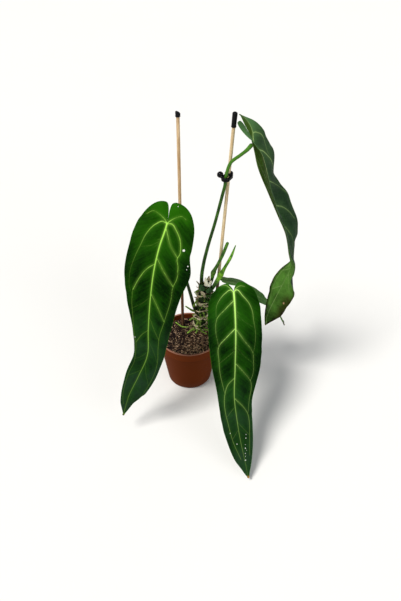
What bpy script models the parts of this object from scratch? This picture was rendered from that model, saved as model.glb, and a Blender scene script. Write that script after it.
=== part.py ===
"""A queen anthurium in a 12 cm nursery pot: four long heart-shaped leaves on their stalks, two young
shoots, a rooted trunk in coarse soil, and two capped wooden stakes, one tied to the tallest stalk.

Lengths are in millimetres until a mesh is made. The origin is the middle of the pot's underside,
+Z is up and the plant is seen from -Y.
"""

import math
from collections import namedtuple

import bmesh
import bpy
import numpy as np
from mathutils import Matrix, Vector, noise

MM = 0.001
GAP = 0.3

# Pot
POT_HEIGHT = 110.0
POT_TOP_RADIUS = 60.0
POT_BASE_RADIUS = 42.0
POT_CORNER = 4.0
POT_COLLAR_MARGIN = 4.5
POT_WALL = 1.5
POT_FLOOR = 2.0
COLLAR_BOTTOM = 88.0
COLLAR_STEP = 1.4
LIP_HEIGHT = 4.0
LIP_WIDTH = 1.6
DRAIN_HOLES = 6
DRAIN_RADIUS = 4.0
DRAIN_CIRCLE = 28.0
POT_SIDES = 36

# Soil
SOIL_HEIGHT = 98.5
SOIL_MOUND = 6.0
SOIL_MOUND_SPREAD = 24.0
SOIL_ROUGHNESS = 1.5
SOIL_CHIP = 6.5
SOIL_SWELL = 14.0
SOIL_RINGS = 13
SOIL_SIDES = 36

# Trunk, as (x, y, z, radius)
TRUNK = (
    (21, 26, 74, 8.5),
    (21, 26, 88, 10.5),
    (21, 26, 104, 11.5),
    (22, 26, 130, 11.5),
    (25, 26, 160, 11.5),
    (29, 26, 190, 11.5),
    (32, 25, 207, 10.5),
    (33, 24, 214, 7.0),
)
TRUNK_HOLE_RADIUS = 11.8
TRUNK_SIDES = 14
TRUNK_ROWS = 38
SCAR_SPACING = 11.5
SCAR_DEPTH = 2.2
SCAR_TILT = 4.0
SCAR_TURN = 2.4
SCAR_BOTTOM = 108.0

# Stakes and their caps: where a stake meets FOOT_HEIGHT, the top of its cap and how high that is, how
# long the cap is, how thick its roof is, and how far that slants
Stake = namedtuple("Stake", "name foot head height cap roof slant")
FOOT_HEIGHT = 100.0
STAKES = (
    Stake("left", (-13, 34), (-13, 33), 543.0, 9.6, 5.5, 0.5),
    Stake("right", (45.8, 16), (73.3, 16), 548.3, 24.0, 2.5, 0.0),
)
STAKE_RADIUS = 2.75
STAKE_BOTTOM = 68.0
STAKE_SIDES = 12
CAP_RADIUS = 4.1
CAP_SHOULDER = 1.6

# Tie: the height of its lowest turn, and how many turns it has, of which some hold the stalk too
TIE_HEIGHT = 439.0
TIE_CORD = 1.9
TIE_PITCH = 3.4
TIE_TURNS = 3
TIE_SHARED = 2
CORD_SIDES = 8
LOOP_STEPS = 6
TIE_BALL = (52.9, 12.5, 445.1)
TIE_BALL_RADIUS = 5.2
TIE_NECK = 2.3

# Blades
BLADE_EDGE = 0.8
KEEL_DEPTH = 1.7
KEEL_WIDTH = 3.0
ROW_STEP = 13.0
LOBE_ROWS = 6
COLUMNS = (0.0, 0.09, 0.36, 0.7, 1.0)
QUILT_DEPTH = 1.3
QUILT_SPACING = 38.0
QUILT_LEAN = 30.0
SEAT = 4.0
TUBE_SIDES = 9

# A step longer than any straight tube, which leaves such a tube without rings between its ends
WHOLE = 1000.0

# A station of a blade: a point of its midrib, the way its upper face looks there, the width of its
# left and right half seen from that face with the tip down, how far the halves fold up in degrees,
# and how much further the left one does. The lobes are as wide as the junction, the second station.
Station = namedtuple("Station", "point facing left right fold more", defaults=(0,))

# A leaf: its stations from the lobe tops over the junction to the tip, how far each lobe top stands
# from the midline, how close the lobes stay (2 for round, more for closer), the droop of its margins
# in degrees, its edge wave (height, length, phase), and its stalk as (x, y, z, radius), which ends
# under the junction.
Leaf = namedtuple("Leaf", "name stations lobe sinus droop wave stalk stalk_end")

LEAVES = (
    Leaf(
        "left",
        (
            Station((-26, -21, 415), (0.05, -0.75, 0.66), 0, 0, 8),
            Station((-32, -32, 382), (0.05, -0.72, 0.69), 51, 52, 8),
            Station((-45, -50, 348), (0.02, -0.76, 0.65), 48.5, 52, 10),
            Station((-53, -65, 320), (0.0, -0.78, 0.62), 49, 60, 10),
            Station((-61, -87, 272), (0.0, -0.8, 0.6), 40, 48, 12),
            Station((-66, -107, 219), (0.0, -0.82, 0.57), 26, 37.5, 14),
            Station((-69, -120, 173), (0.05, -0.85, 0.5), 23.5, 28.5, 16),
            Station((-87, -129, 128), (0.1, -0.85, 0.5), 22.5, 28.5, 14),
            Station((-106, -139, 87), (0.15, -0.85, 0.5), 14, 20, 12),
            Station((-112.8, -143, 64), (0.18, -0.85, 0.47), 8.5, 8.5, 10),
            Station((-118, -146, 45), (0.2, -0.85, 0.45), 0, 0, 8),
        ),
        9.0,
        3.2,
        14.0,
        (2.0, 74.0, 0.5),
        ((20, 25, 128, 3.6), (12, 22, 150, 3.4), (3, 18, 193, 3.0), (-3, 12, 226, 2.8),
         (-14, -4, 292, 2.6), (-25, -22, 352, 2.8)),
        3.3,
    ),
    Leaf(
        "front",
        (
            Station((77, -31, 258.5), (0.05, -0.62, 0.78), 0, 0, 6),
            Station((79, -40, 246), (0.0, -0.7, 0.71), 47, 45, 6),
            Station((81, -64, 225), (0.0, -0.75, 0.66), 47, 45, 8),
            Station((82, -96, 195), (0.0, -0.76, 0.65), 47, 46, 10),
            Station((81, -131, 152), (0.0, -0.76, 0.65), 40, 43, 12),
            Station((80, -167, 110), (-0.05, -0.74, 0.67), 28, 30.5, 14),
            Station((84, -187, 85), (0.0, -0.74, 0.67), 27, 27, 14),
            Station((91, -212, 52), (0.0, -0.76, 0.65), 22.5, 21.5, 12),
            Station((98, -233, 29), (0.0, -0.8, 0.6), 15.5, 12.5, 10),
            Station((103.8, -255, 8.8), (0.0, -0.8, 0.6), 0, 0, 8),
        ),
        11.0,
        1.6,
        16.0,
        (1.8, 66.0, 2.1),
        ((29, 21, 177, 3.4), (36, 8, 183, 3.2), (44, -7, 192, 2.8), (57, -18, 214, 2.7),
         (70, -27, 236, 2.7)),
        3.0,
    ),
    Leaf(
        "tall",
        (
            Station((81.2, 0, 546.6), (0.82, -0.33, 0.47), 0, 0, -14, 7),
            Station((101.8, 0, 505.9), (0.9, -0.41, -0.12), 20, 42, 6, 42),
            Station((113, 0, 464.5), (0.91, -0.31, 0.27), 43, 58, 17, 24),
            Station((132, 0, 419), (0.88, -0.32, 0.35), 41, 58, 4, 30),
            Station((151, 0, 375), (0.85, -0.37, 0.36), 39, 47, 14, 23),
            Station((166, 0, 340), (0.88, -0.36, 0.3), 36, 43, 20, 9),
            Station((175, 0, 300), (0.96, -0.19, 0.18), 42, 35, 18, 6),
            Station((181, 0, 265), (0.99, -0.11, -0.09), 37, 32, 10),
            Station((173, 0, 240), (0.9, 0.35, -0.26), 32, 28, 7, 5),
            Station((160, 0, 201), (0.8, 0.56, -0.23), 28, 26, 18, 6),
            Station((149, 0, 164), (0.77, 0.61, -0.19), 21, 17, 27, 6),
            Station((144, 0, 131), (0.77, 0.62, -0.17), 0, 0, 24, 3),
        ),
        12.2,
        2.6,
        8.0,
        (2.0, 70.0, 1.2),
        ((25, 26, 198, 3.8), (23.5, 26, 219, 3.4), (27, 24, 258, 3.2), (32.8, 21, 291, 3.0),
         (47, 14, 357, 2.7), (57.2, 11, 408.5, 2.7), (60.6, 9.5, 426, 2.7), (62, 7, 444, 2.7),
         (69.5, 7, 470, 2.7), (83.1, 5, 483, 2.7), (93.5, 4, 493, 2.7)),
        3.3,
    ),
    Leaf(
        "back",
        (
            Station((59, 12, 229), (0.1, 0.45, 0.88), 0, 0, 12),
            Station((69, 14, 226), (0.25, 0.45, 0.86), 30, 27, 12),
            Station((84, 18, 219), (0.35, 0.4, 0.85), 30, 27, 12),
            Station((112, 28, 189), (0.45, 0.05, 0.89), 22, 25, 16),
            Station((146, 40, 157), (0.65, 0.0, 0.76), 14, 14, 14),
            Station((177, 50, 113), (0.85, 0.0, 0.53), 3.5, 3.5, 10),
            Station((190, 52, 83), (0.92, 0.0, 0.4), 0, 0, 8),
        ),
        5.0,
        2.0,
        10.0,
        (1.0, 48.0, 0.8),
        ((30, 18, 190, 3.2), (38, 10, 196, 2.8), (48, 3, 206, 2.5), (57, 5, 213, 2.4)),
        2.5,
    ),
)

# Young shoots, as (x, y, z, radius)
SHOOTS = {
    "shoot_dark": ((36.5, 29, 199, 3.0), (42, 22, 221, 2.6), (44.3, 16.5, 243, 4.0),
                   (51, 11, 264.5, 2.8), (59.8, 8, 289, 2.9), (68, 8, 314.5, 2.6)),
    "shoot_bright": ((40, 20.5, 198, 3.2), (49.8, 8.5, 228, 3.8), (58, 6, 248.5, 4.4),
                     (64.2, 5, 264, 2.9), (74.6, 5, 288, 2.6), (81.7, 5, 312, 0.9)),
}

# Roots of the trunk, as (x, y, z, radius), and the ones that run over the soil, whose z is worked
# out from the soil under them
AIR_ROOTS = (
    ((20, 24, 142, 2.2), (7, 18, 152, 2.0), (-6, 15, 165, 1.3)),
    ((22, 24, 176, 2.0), (13, 14, 177, 1.8), (9, 8, 172, 1.2)),
    ((22, 22, 132, 2.2), (17, 10, 131, 2.0), (13, 4, 126, 1.3)),
    ((25, 24, 160, 2.0), (36, 12, 160, 1.8), (40, 8, 155, 1.2)),
    ((21, 27, 124, 2.0), (8, 27, 125, 1.8), (1, 26, 121, 1.2)),
    ((28, 26, 196, 2.0), (16, 20, 199, 1.8), (11, 17, 197, 1.1)),
    ((24, 28, 150, 2.2), (30, 40, 150, 1.8), (33, 46, 143, 1.2)),
    ((26, 28, 172, 2.0), (38, 34, 174, 1.8), (44, 38, 169, 1.2)),
)
SOIL_ROOTS = (
    ((20, 22, 2.7), (7, 15, 2.5), (-3, 8, 1.6)),
    ((22, 22, 2.3), (23, 12, 2.0), (33, 5, 1.1)),
    ((18, 27, 2.2), (4, 25, 1.7), (-12, 26, 1.4), (-27, 40, 1.0)),
    ((24, 24, 2.2), (30, 14, 2.0), (37, 15, 1.1)),
    ((20, 20, 2.3), (15, 11, 1.9), (13, 7, 1.2)),
)
SOIL_ROOT_CLEARANCE = 2.0
ROOT_START = 112.0

COLOURS = {
    "pot": ((0.085, 0.026, 0.012), 0.42),
    "soil": ((0.035, 0.022, 0.014), 0.95),
    "trunk": ((0.06, 0.075, 0.02), 0.7),
    "leaf": ((0.015, 0.085, 0.018), 0.38),
    "stalk": ((0.035, 0.13, 0.018), 0.45),
    "stake": ((0.56, 0.36, 0.19), 0.65),
    "cap": ((0.008, 0.008, 0.009), 0.4),
    "tie": ((0.008, 0.008, 0.009), 0.3),
}


def clear_scene():
    for obj in list(bpy.data.objects):
        bpy.data.objects.remove(obj, do_unlink=True)


def material(name):
    colour, roughness = COLOURS[name]
    made = bpy.data.materials.new(name)
    made.use_nodes = True
    shader = made.node_tree.nodes["Principled BSDF"]
    shader.inputs["Base Color"].default_value = (*colour, 1.0)
    shader.inputs["Roughness"].default_value = roughness
    return made


def add_object(name, points, faces, made):
    """A mesh object from points in millimetres."""
    mesh = bpy.data.meshes.new(name)
    mesh.from_pydata([Vector(point) * MM for point in points], [], faces)
    mesh.materials.append(made)
    obj = bpy.data.objects.new(name, mesh)
    bpy.context.scene.collection.objects.link(obj)
    return obj


def combine(target, other, operation):
    """A Boolean on target with other, which becomes a hidden helper."""
    other.hide_render = True
    other.display_type = "WIRE"
    modifier = target.modifiers.new(other.name, "BOOLEAN")
    modifier.operation = operation
    modifier.solver = "EXACT"
    modifier.object = other


def along(rows):
    """The distance of each row's point from the first, along the straight lines between them."""
    points = rows[:, :3]
    steps = np.linalg.norm(np.diff(points, axis=0), axis=1)
    return np.concatenate([[0.0], np.cumsum(steps)])


def smooth(rows, knots, where):
    """Every column of rows at the distances in where, as one smooth curve through the knots."""
    slopes = np.gradient(rows, knots, axis=0)
    index = np.clip(np.searchsorted(knots, where, side="right") - 1, 0, len(knots) - 2)
    span = knots[index + 1] - knots[index]
    t = ((where - knots[index]) / span)[:, None]
    start, end = rows[index], rows[index + 1]
    leave, arrive = slopes[index] * span[:, None], slopes[index + 1] * span[:, None]
    return (
        (2 * t**3 - 3 * t**2 + 1) * start
        + (t**3 - 2 * t**2 + t) * leave
        + (3 * t**2 - 2 * t**3) * end
        + (t**3 - t**2) * arrive
    )


def unit(vectors):
    return vectors / np.linalg.norm(vectors, axis=-1, keepdims=True)


def stations_along(route, step):
    """Rows of (x, y, z, radius) at about every step along a smooth curve through route."""
    rows = np.array(route, float)
    knots = along(rows)
    return smooth(rows, knots, np.linspace(0, knots[-1], max(2, round(knots[-1] / step) + 1)))


def tube(name, route, made, step=11.0, sides=TUBE_SIDES, grow=0.0, keep=None, flat=False):
    """A tube along route with rounded or flat ends. keep cuts it after so many of its stations."""
    rows = stations_along(route, step)[:keep]
    centres, radii = rows[:, :3], rows[:, 3] + grow
    tangents = unit(np.gradient(centres, axis=0))
    side = unit(np.cross(tangents[0], (0.3, 0.9, 0.1)))
    rings = []
    if not flat:
        for turn in (80, 55, 28):
            angle = math.radians(turn)
            rings.append((centres[0] - tangents[0] * radii[0] * math.sin(angle), tangents[0],
                          radii[0] * math.cos(angle)))
    rings += list(zip(centres, tangents, radii))
    if not flat:
        for turn in (28, 55, 80):
            angle = math.radians(turn)
            rings.append((centres[-1] + tangents[-1] * radii[-1] * math.sin(angle), tangents[-1],
                          radii[-1] * math.cos(angle)))
    points = []
    for centre, tangent, radius in rings:
        side = unit(side - tangent * np.dot(side, tangent))
        other = np.cross(tangent, side)
        for k in range(sides):
            angle = 2 * math.pi * k / sides
            points.append(centre + radius * (math.cos(angle) * side + math.sin(angle) * other))
    return add_object(name, points, ring_faces(len(rings), sides), made)


def ring_faces(rows, sides):
    """Faces of a closed tube of rows rings, which are listed one after the other."""
    faces = [
        (row * sides + k, row * sides + (k + 1) % sides,
         (row + 1) * sides + (k + 1) % sides, (row + 1) * sides + k)
        for row in range(rows - 1)
        for k in range(sides)
    ]
    last = (rows - 1) * sides
    return [tuple(reversed(range(sides))), *faces, tuple(range(last, last + sides))]


def turned(name, outline, sides, made):
    """A solid turned about Z from an outline of (radius, z) that starts and ends on the axis."""
    points = [(0, 0, outline[0][1])]
    for radius, height in outline[1:-1]:
        for k in range(sides):
            angle = 2 * math.pi * k / sides
            points.append((radius * math.cos(angle), radius * math.sin(angle), height))
    points.append((0, 0, outline[-1][1]))
    top = len(points) - 1
    rows = len(outline) - 2
    faces = [(0, 1 + (k + 1) % sides, 1 + k) for k in range(sides)]
    for row in range(rows - 1):
        first, second = 1 + row * sides, 1 + (row + 1) * sides
        for k in range(sides):
            faces.append((first + k, first + (k + 1) % sides, second + (k + 1) % sides, second + k))
    last = 1 + (rows - 1) * sides
    faces += [(last + k, last + (k + 1) % sides, top) for k in range(sides)]
    return add_object(name, points, faces, made)


def inner_radius(height):
    """The pot's inside radius at a height."""
    share = (height - POT_CORNER) / (COLLAR_BOTTOM - POT_CORNER)
    wall = POT_BASE_RADIUS + (POT_TOP_RADIUS - POT_BASE_RADIUS - POT_COLLAR_MARGIN) * share
    return wall - POT_WALL


def pot(made):
    neck = inner_radius(COLLAR_BOTTOM) + POT_WALL
    collar = neck + COLLAR_STEP
    below_lip = POT_TOP_RADIUS - LIP_WIDTH
    lip_bottom = POT_HEIGHT - LIP_HEIGHT
    corner = POT_CORNER * 0.3
    outline = (
        (0, 0),
        (POT_BASE_RADIUS - POT_CORNER, 0),
        (POT_BASE_RADIUS - corner, corner),
        (POT_BASE_RADIUS, POT_CORNER),
        (neck, COLLAR_BOTTOM),
        (collar, COLLAR_BOTTOM + 1),
        (below_lip, lip_bottom),
        (POT_TOP_RADIUS, lip_bottom + 0.5),
        (POT_TOP_RADIUS, POT_HEIGHT - 0.6),
        (POT_TOP_RADIUS - 0.6, POT_HEIGHT),
        (below_lip - POT_WALL + 0.6, POT_HEIGHT),
        (below_lip - POT_WALL, POT_HEIGHT - 1),
        (collar - POT_WALL, COLLAR_BOTTOM + 2.5),
        (neck - POT_WALL, COLLAR_BOTTOM + 1),
        (POT_BASE_RADIUS - POT_WALL, POT_CORNER + 1),
        (POT_BASE_RADIUS - POT_WALL - 1.5, POT_FLOOR),
        (0, POT_FLOOR),
    )
    made_pot = turned("pot", outline, POT_SIDES, made)
    helper = bmesh.new()
    for k in range(DRAIN_HOLES):
        angle = 2 * math.pi * k / DRAIN_HOLES
        place = Matrix.Translation(Vector((DRAIN_CIRCLE * math.cos(angle),
                                           DRAIN_CIRCLE * math.sin(angle), 1)) * MM)
        bmesh.ops.create_cone(helper, cap_ends=True, segments=10, radius1=DRAIN_RADIUS * MM,
                              radius2=DRAIN_RADIUS * MM, depth=3 * POT_FLOOR * MM, matrix=place)
    mesh = bpy.data.meshes.new("drain_holes")
    helper.to_mesh(mesh)
    helper.free()
    holes = bpy.data.objects.new("drain_holes", mesh)
    bpy.context.scene.collection.objects.link(holes)
    combine(made_pot, holes, "DIFFERENCE")


def soil_height(x, y):
    """The soil's surface: a mound round the trunk, broken up by chips that stand at random."""
    trunk_x, trunk_y = TRUNK[0][:2]
    far = math.hypot(x - trunk_x, y - trunk_y) / SOIL_MOUND_SPREAD
    mound = SOIL_MOUND * math.exp(-far * far / 2)
    chip = noise.cell(Vector((x / SOIL_CHIP, y / SOIL_CHIP, 0.5)))
    swell = noise.noise(Vector((x / SOIL_SWELL, y / SOIL_SWELL, 3.7)))
    return SOIL_HEIGHT + mound + SOIL_ROUGHNESS * (chip - 0.5 + swell)


def soil(made):
    top_radius = inner_radius(COLLAR_BOTTOM) + COLLAR_STEP - 2 * GAP
    outline = (
        (0, POT_FLOOR + GAP),
        (POT_BASE_RADIUS - POT_WALL - 2.5, POT_FLOOR + GAP),
        (POT_BASE_RADIUS - POT_WALL - 1.2, POT_CORNER + 1.5),
        (inner_radius(COLLAR_BOTTOM) - 2 * GAP, COLLAR_BOTTOM),
        (top_radius, COLLAR_BOTTOM + 3.5),
        *((top_radius * (1 - ring / SOIL_RINGS), 0) for ring in range(SOIL_RINGS)),
        (0, 0),
    )
    made_soil = turned("soil", outline, SOIL_SIDES, made)
    for vertex in made_soil.data.vertices:
        x, y, z = vertex.co / MM
        if z < POT_FLOOR:
            vertex.co.z = soil_height(x, y) * MM
    plug = [(*TRUNK[0][:2], TRUNK[0][2] - GAP, TRUNK_HOLE_RADIUS),
            (*TRUNK[0][:2], POT_HEIGHT + 10, TRUNK_HOLE_RADIUS)]
    combine(made_soil, tube("trunk_hole", plug, made, step=WHOLE, sides=20, flat=True), "DIFFERENCE")
    for stake in STAKES:
        low = stake_point(stake, STAKE_BOTTOM - GAP)
        high = stake_point(stake, POT_HEIGHT + 10)
        route = [(*low, STAKE_RADIUS + GAP), (*high, STAKE_RADIUS + GAP)]
        hole = tube(f"hole_{stake.name}", route, made, step=WHOLE, sides=STAKE_SIDES, flat=True)
        combine(made_soil, hole, "DIFFERENCE")


def stake_point(stake, height):
    """The point of a stake's middle line at a height."""
    share = (height - FOOT_HEIGHT) / (stake.height - FOOT_HEIGHT)
    x, y = (foot + (head - foot) * share for foot, head in zip(stake.foot, stake.head))
    return (x, y, height)


def trunk(made):
    """The trunk with a ring where each old leaf stood, and its roots fused to it."""
    rows = np.array(TRUNK, float)
    knots = along(rows)
    rows = smooth(rows, knots, np.linspace(0, knots[-1], TRUNK_ROWS))
    points = []
    for x, y, z, radius in rows:
        for k in range(TRUNK_SIDES):
            angle = 2 * math.pi * k / TRUNK_SIDES
            ring = math.floor((z - SCAR_BOTTOM) / SCAR_SPACING)
            tilt = SCAR_TILT * math.cos(angle + SCAR_TURN * ring)
            share = ((z + tilt - SCAR_BOTTOM) / SCAR_SPACING) % 1.0
            jag = noise.noise(Vector((3 * math.cos(angle), 3 * math.sin(angle), z / 9)))
            out = SCAR_DEPTH * (share**2 - 0.4 + 0.5 * jag) if z > SCAR_BOTTOM else 0.0
            reach = radius + out
            points.append((x + reach * math.cos(angle), y + reach * math.sin(angle), z))
    body = add_object("trunk", points, ring_faces(TRUNK_ROWS, TRUNK_SIDES), made)
    for number, route in enumerate(AIR_ROOTS):
        combine(body, tube(f"air_root_{number}", route, made, step=7, sides=6), "UNION")
    for number, route in enumerate(SOIL_ROOTS):
        combine(body, tube(f"soil_root_{number}", over_soil(route), made, step=7, sides=6), "UNION")
    return body


def over_soil(route):
    """A root's route over the soil: it leaves the trunk above it and comes down to lie on it."""
    rows = [(*route[0][:2], ROOT_START, route[0][2])]
    for x, y, radius in route[1:]:
        rows.append((x, y, soil_height(x, y) + radius + SOIL_ROOT_CLEARANCE, radius))
    return rows


def blade_rows(leaf):
    """Each row across a blade: where it is along the midrib, its frame, margins, lobes and fold."""
    table = np.array([(*s.point, *s.facing, s.left, s.right, s.fold + s.more, s.fold)
                      for s in leaf.stations], float)
    knots = along(table)
    junction, shoulder = knots[1], knots[2]
    table[0, 6:8] = table[1, 6:8]
    angles = np.linspace(math.pi / 2, 0, LOBE_ROWS)
    count = round((knots[-1] - junction) / ROW_STEP)
    where = np.concatenate([junction * (1 - np.sin(angles)),
                            np.linspace(junction, knots[-1], count + 1)[1:]])
    rows = smooth(table, knots, where)
    tangents = unit(np.gradient(rows[:, :3], where, axis=0))
    sides = unit(np.cross(rows[:, 3:6], tangents))
    normals = np.cross(tangents, sides)
    outer = np.maximum(rows[:, 6:8], 0.0)
    round_off = np.clip((shoulder - where) / shoulder, 0, 1)[:, None]
    wide = np.stack([np.interp(where, knots[:3], table[:3, 6 + half]) for half in (0, 1)], axis=1)
    rounded = leaf.lobe + (wide - leaf.lobe) * np.sqrt(1 - round_off**2)
    outer = np.where(where[:, None] < shoulder, rounded, outer)
    back = np.clip((junction - where) / junction, 0, 1)
    inner = leaf.lobe * (1 - (1 - back**leaf.sinus) ** (1 / leaf.sinus))
    return where - junction, rows, normals, sides, outer, inner


def blade_surface(leaf):
    """Points of a blade's upper face with the distance of each from the midline, and its triangles."""
    where, rows, normals, sides, outer, inner = blade_rows(leaf)
    wave_height, wave_length, wave_phase = leaf.wave
    points, distances, index = [], [], {}
    last = len(where) - 1

    def vertex(row, half, column):
        if row == last:
            key = (row, 0, 0)
        elif row == 0:
            key = (row, half, 0)
        elif column == 0 and where[row] >= 0:
            key = (row, 0, 0)
        else:
            key = (row, half, column)
        if key in index:
            return index[key]
        side = 0 if half < 0 else 1
        width = outer[row, side]
        x = inner[row] + (width - inner[row]) * COLUMNS[column]
        share = x / max(outer[row].max(), 1e-6)
        if row == last:
            x = share = 0.0
        if row == 0:
            x = leaf.lobe
        angle = math.radians(rows[row, 8 + side] - leaf.droop * share)
        cycle = (where[row] - QUILT_LEAN * share) / QUILT_SPACING
        lift = x * math.sin(angle)
        lift += wave_height * share**2 * math.sin(2 * math.pi * where[row] / wave_length
                                                  + wave_phase + half)
        lift += QUILT_DEPTH * abs(math.sin(math.pi * cycle)) * math.sin(math.pi * min(share, 1.0))
        points.append(rows[row, :3] + half * x * math.cos(angle) * sides[row] + lift * normals[row])
        distances.append(x)
        index[key] = len(points) - 1
        return index[key]

    faces = []
    for half in (-1, 1):
        for row in range(last):
            for column in range(len(COLUMNS) - 1):
                corners = [vertex(row, half, column), vertex(row, half, column + 1),
                           vertex(row + 1, half, column + 1), vertex(row + 1, half, column)]
                for face in ((corners[0], corners[1], corners[2]), (corners[0], corners[2], corners[3])):
                    if len(set(face)) == 3:
                        faces.append(face if half < 0 else face[::-1])
    return np.array(points), np.array(distances), faces


def blade(leaf, made):
    """A leaf blade: its upper face, the same face set down by its thickness, and the rim between."""
    points, distances, faces = blade_surface(leaf)
    corners = points[np.array(faces)]
    face_normals = np.cross(corners[:, 1] - corners[:, 0], corners[:, 2] - corners[:, 0])
    normals = np.zeros_like(points)
    for k in range(3):
        np.add.at(normals, np.array(faces)[:, k], face_normals)
    keel = KEEL_DEPTH * np.exp(-((distances / KEEL_WIDTH) ** 2))
    lower = points - unit(normals) * (BLADE_EDGE + keel)[:, None]
    count = len(points)
    edges = {(face[k], face[(k + 1) % 3]) for face in faces for k in range(3)}
    rim = [(b, a, a + count, b + count) for a, b in edges if (b, a) not in edges]
    under = [tuple(count + k for k in reversed(face)) for face in faces]
    return add_object(f"leaf_{leaf.name}", np.vstack([points, lower]), faces + under + rim, made)


def stalk_route(leaf):
    """The stalk's route with its end set under the blade, just past the junction."""
    where, rows, normals, *_ = blade_rows(leaf)
    row = int(np.argmin(abs(where - SEAT)))
    depth = BLADE_EDGE + KEEL_DEPTH + GAP + leaf.stalk_end
    end = rows[row, :3] - normals[row] * depth
    return [*leaf.stalk, (*end, leaf.stalk_end)]


def grow_from(body, name, route, made, socket_stations):
    """A tube that stands in a socket of the trunk."""
    socket = tube(f"{name}_socket", route, made, grow=GAP, keep=socket_stations)
    combine(body, socket, "DIFFERENCE")
    return tube(name, route, made)


def rod(stake, made):
    top = stake.height - stake.roof - GAP
    route = [(*stake_point(stake, STAKE_BOTTOM), STAKE_RADIUS), (*stake_point(stake, top), STAKE_RADIUS)]
    tube(f"stake_{stake.name}", route, made, step=WHOLE, sides=STAKE_SIDES, flat=True)


def cap(stake, made):
    """A soft cap over a stake's end, hollow below and round or slanted on top."""
    bore = (STAKE_RADIUS + GAP) / math.cos(math.pi / STAKE_SIDES)
    outline = (
        (0, -stake.roof),
        (bore, -stake.roof),
        (bore, -stake.cap),
        (CAP_RADIUS, -stake.cap),
        (CAP_RADIUS, -CAP_SHOULDER),
        (CAP_RADIUS * 0.75, -CAP_SHOULDER / 4),
        (0, 0),
    )
    body = turned(f"stake_cap_{stake.name}", outline, STAKE_SIDES, made)
    foot = Vector(stake_point(stake, FOOT_HEIGHT))
    head = Vector(stake_point(stake, stake.height))
    for vertex in body.data.vertices:
        if vertex.co.z > -(CAP_SHOULDER + GAP) * MM:
            vertex.co.z -= stake.slant * (vertex.co.x + CAP_RADIUS * MM)
    body.data.transform(Vector((0, 0, 1)).rotation_difference(head - foot).to_matrix().to_4x4())
    body.data.transform(Matrix.Translation(head * MM))


def loop_round(centres, radius, height, cord, name, made):
    """A closed cord round one or two round things, given by their centres and the loop's radius."""
    first, second = Vector(centres[0]), Vector(centres[-1])
    heading = math.atan2(*(second - first).yx) if len(centres) > 1 else 0.0
    path = []
    for centre, start in ((second, heading - math.pi / 2), (first, heading + math.pi / 2)):
        for k in range(LOOP_STEPS + 1):
            angle = start + math.pi * k / LOOP_STEPS
            path.append(centre + radius * Vector((math.cos(angle), math.sin(angle))))
    if len(centres) == 1:
        path = path[:LOOP_STEPS] + path[LOOP_STEPS + 1:-1]
    points, faces = [], []
    for number, point in enumerate(path):
        ahead = path[(number + 1) % len(path)] - path[number - 1]
        out = Vector((ahead.y, -ahead.x)).normalized()
        for k in range(CORD_SIDES):
            angle = 2 * math.pi * k / CORD_SIDES
            place = point + out * cord * math.cos(angle)
            points.append((place.x, place.y, height + cord * math.sin(angle)))
    for number in range(len(path)):
        other = (number + 1) % len(path)
        for k in range(CORD_SIDES):
            faces.append((number * CORD_SIDES + k, number * CORD_SIDES + (k + 1) % CORD_SIDES,
                          other * CORD_SIDES + (k + 1) % CORD_SIDES, other * CORD_SIDES + k))
    return add_object(name, points, [face[::-1] for face in faces], made)


def stalk_at(route, height):
    rows = stations_along(route, 2.0)
    row = rows[np.argmin(abs(rows[:, 2] - height))]
    return (row[0], row[1])


def tie(stalk, made):
    """Turns of cord round the stake, the lower ones round the stalk too, with a ball on its end."""
    stake = STAKES[1]
    reach = STAKE_RADIUS + 2 * GAP + TIE_CORD
    bodies = []
    for turn in range(TIE_TURNS):
        height = TIE_HEIGHT + TIE_PITCH * turn
        centres = [stake_point(stake, height)[:2]]
        size = reach - GAP
        if turn < TIE_SHARED:
            centres.insert(0, stalk_at(stalk, height))
            size = reach
        name = f"tie_turn_{turn}" if turn else "tie"
        bodies.append(loop_round(centres, size, height, TIE_CORD, name, made))
    body = bodies[0]
    for other in bodies[1:]:
        combine(body, other, "UNION")
    height = TIE_HEIGHT + TIE_PITCH
    left, near = stalk_at(stalk, height)
    start = (left - reach - TIE_NECK / 2, near + TIE_NECK / 2, height)
    neck = tube("tie_neck", [(*start, TIE_NECK), (*TIE_BALL, TIE_NECK)], made, step=4, sides=8)
    combine(body, neck, "UNION")
    mesh = bpy.data.meshes.new("tie_ball")
    ball = bmesh.new()
    bmesh.ops.create_uvsphere(ball, u_segments=14, v_segments=9, radius=TIE_BALL_RADIUS * MM,
                              matrix=Matrix.Translation(Vector(TIE_BALL) * MM))
    ball.to_mesh(mesh)
    ball.free()
    ball_object = bpy.data.objects.new("tie_ball", mesh)
    bpy.context.scene.collection.objects.link(ball_object)
    combine(body, ball_object, "UNION")


def main():
    clear_scene()
    made = {name: material(name) for name in COLOURS}
    pot(made["pot"])
    soil(made["soil"])
    body = trunk(made["trunk"])
    for leaf in LEAVES:
        blade(leaf, made["leaf"])
        grow_from(body, f"stalk_{leaf.name}", stalk_route(leaf), made["stalk"], 5)
    for name, route in SHOOTS.items():
        grow_from(body, name, route, made["stalk"], 4)
    for stake in STAKES:
        rod(stake, made["stake"])
        cap(stake, made["cap"])
    tall = next(leaf for leaf in LEAVES if leaf.name == "tall")
    tie(stalk_route(tall), made["tie"])


main()
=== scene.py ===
"""The finish of a queen anthurium in its nursery pot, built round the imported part.

The fine pieces take their main shapes from the same routes and stations as the part. Tables are in
millimetres, and what a user sets in the panel is in metres.
"""

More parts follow.
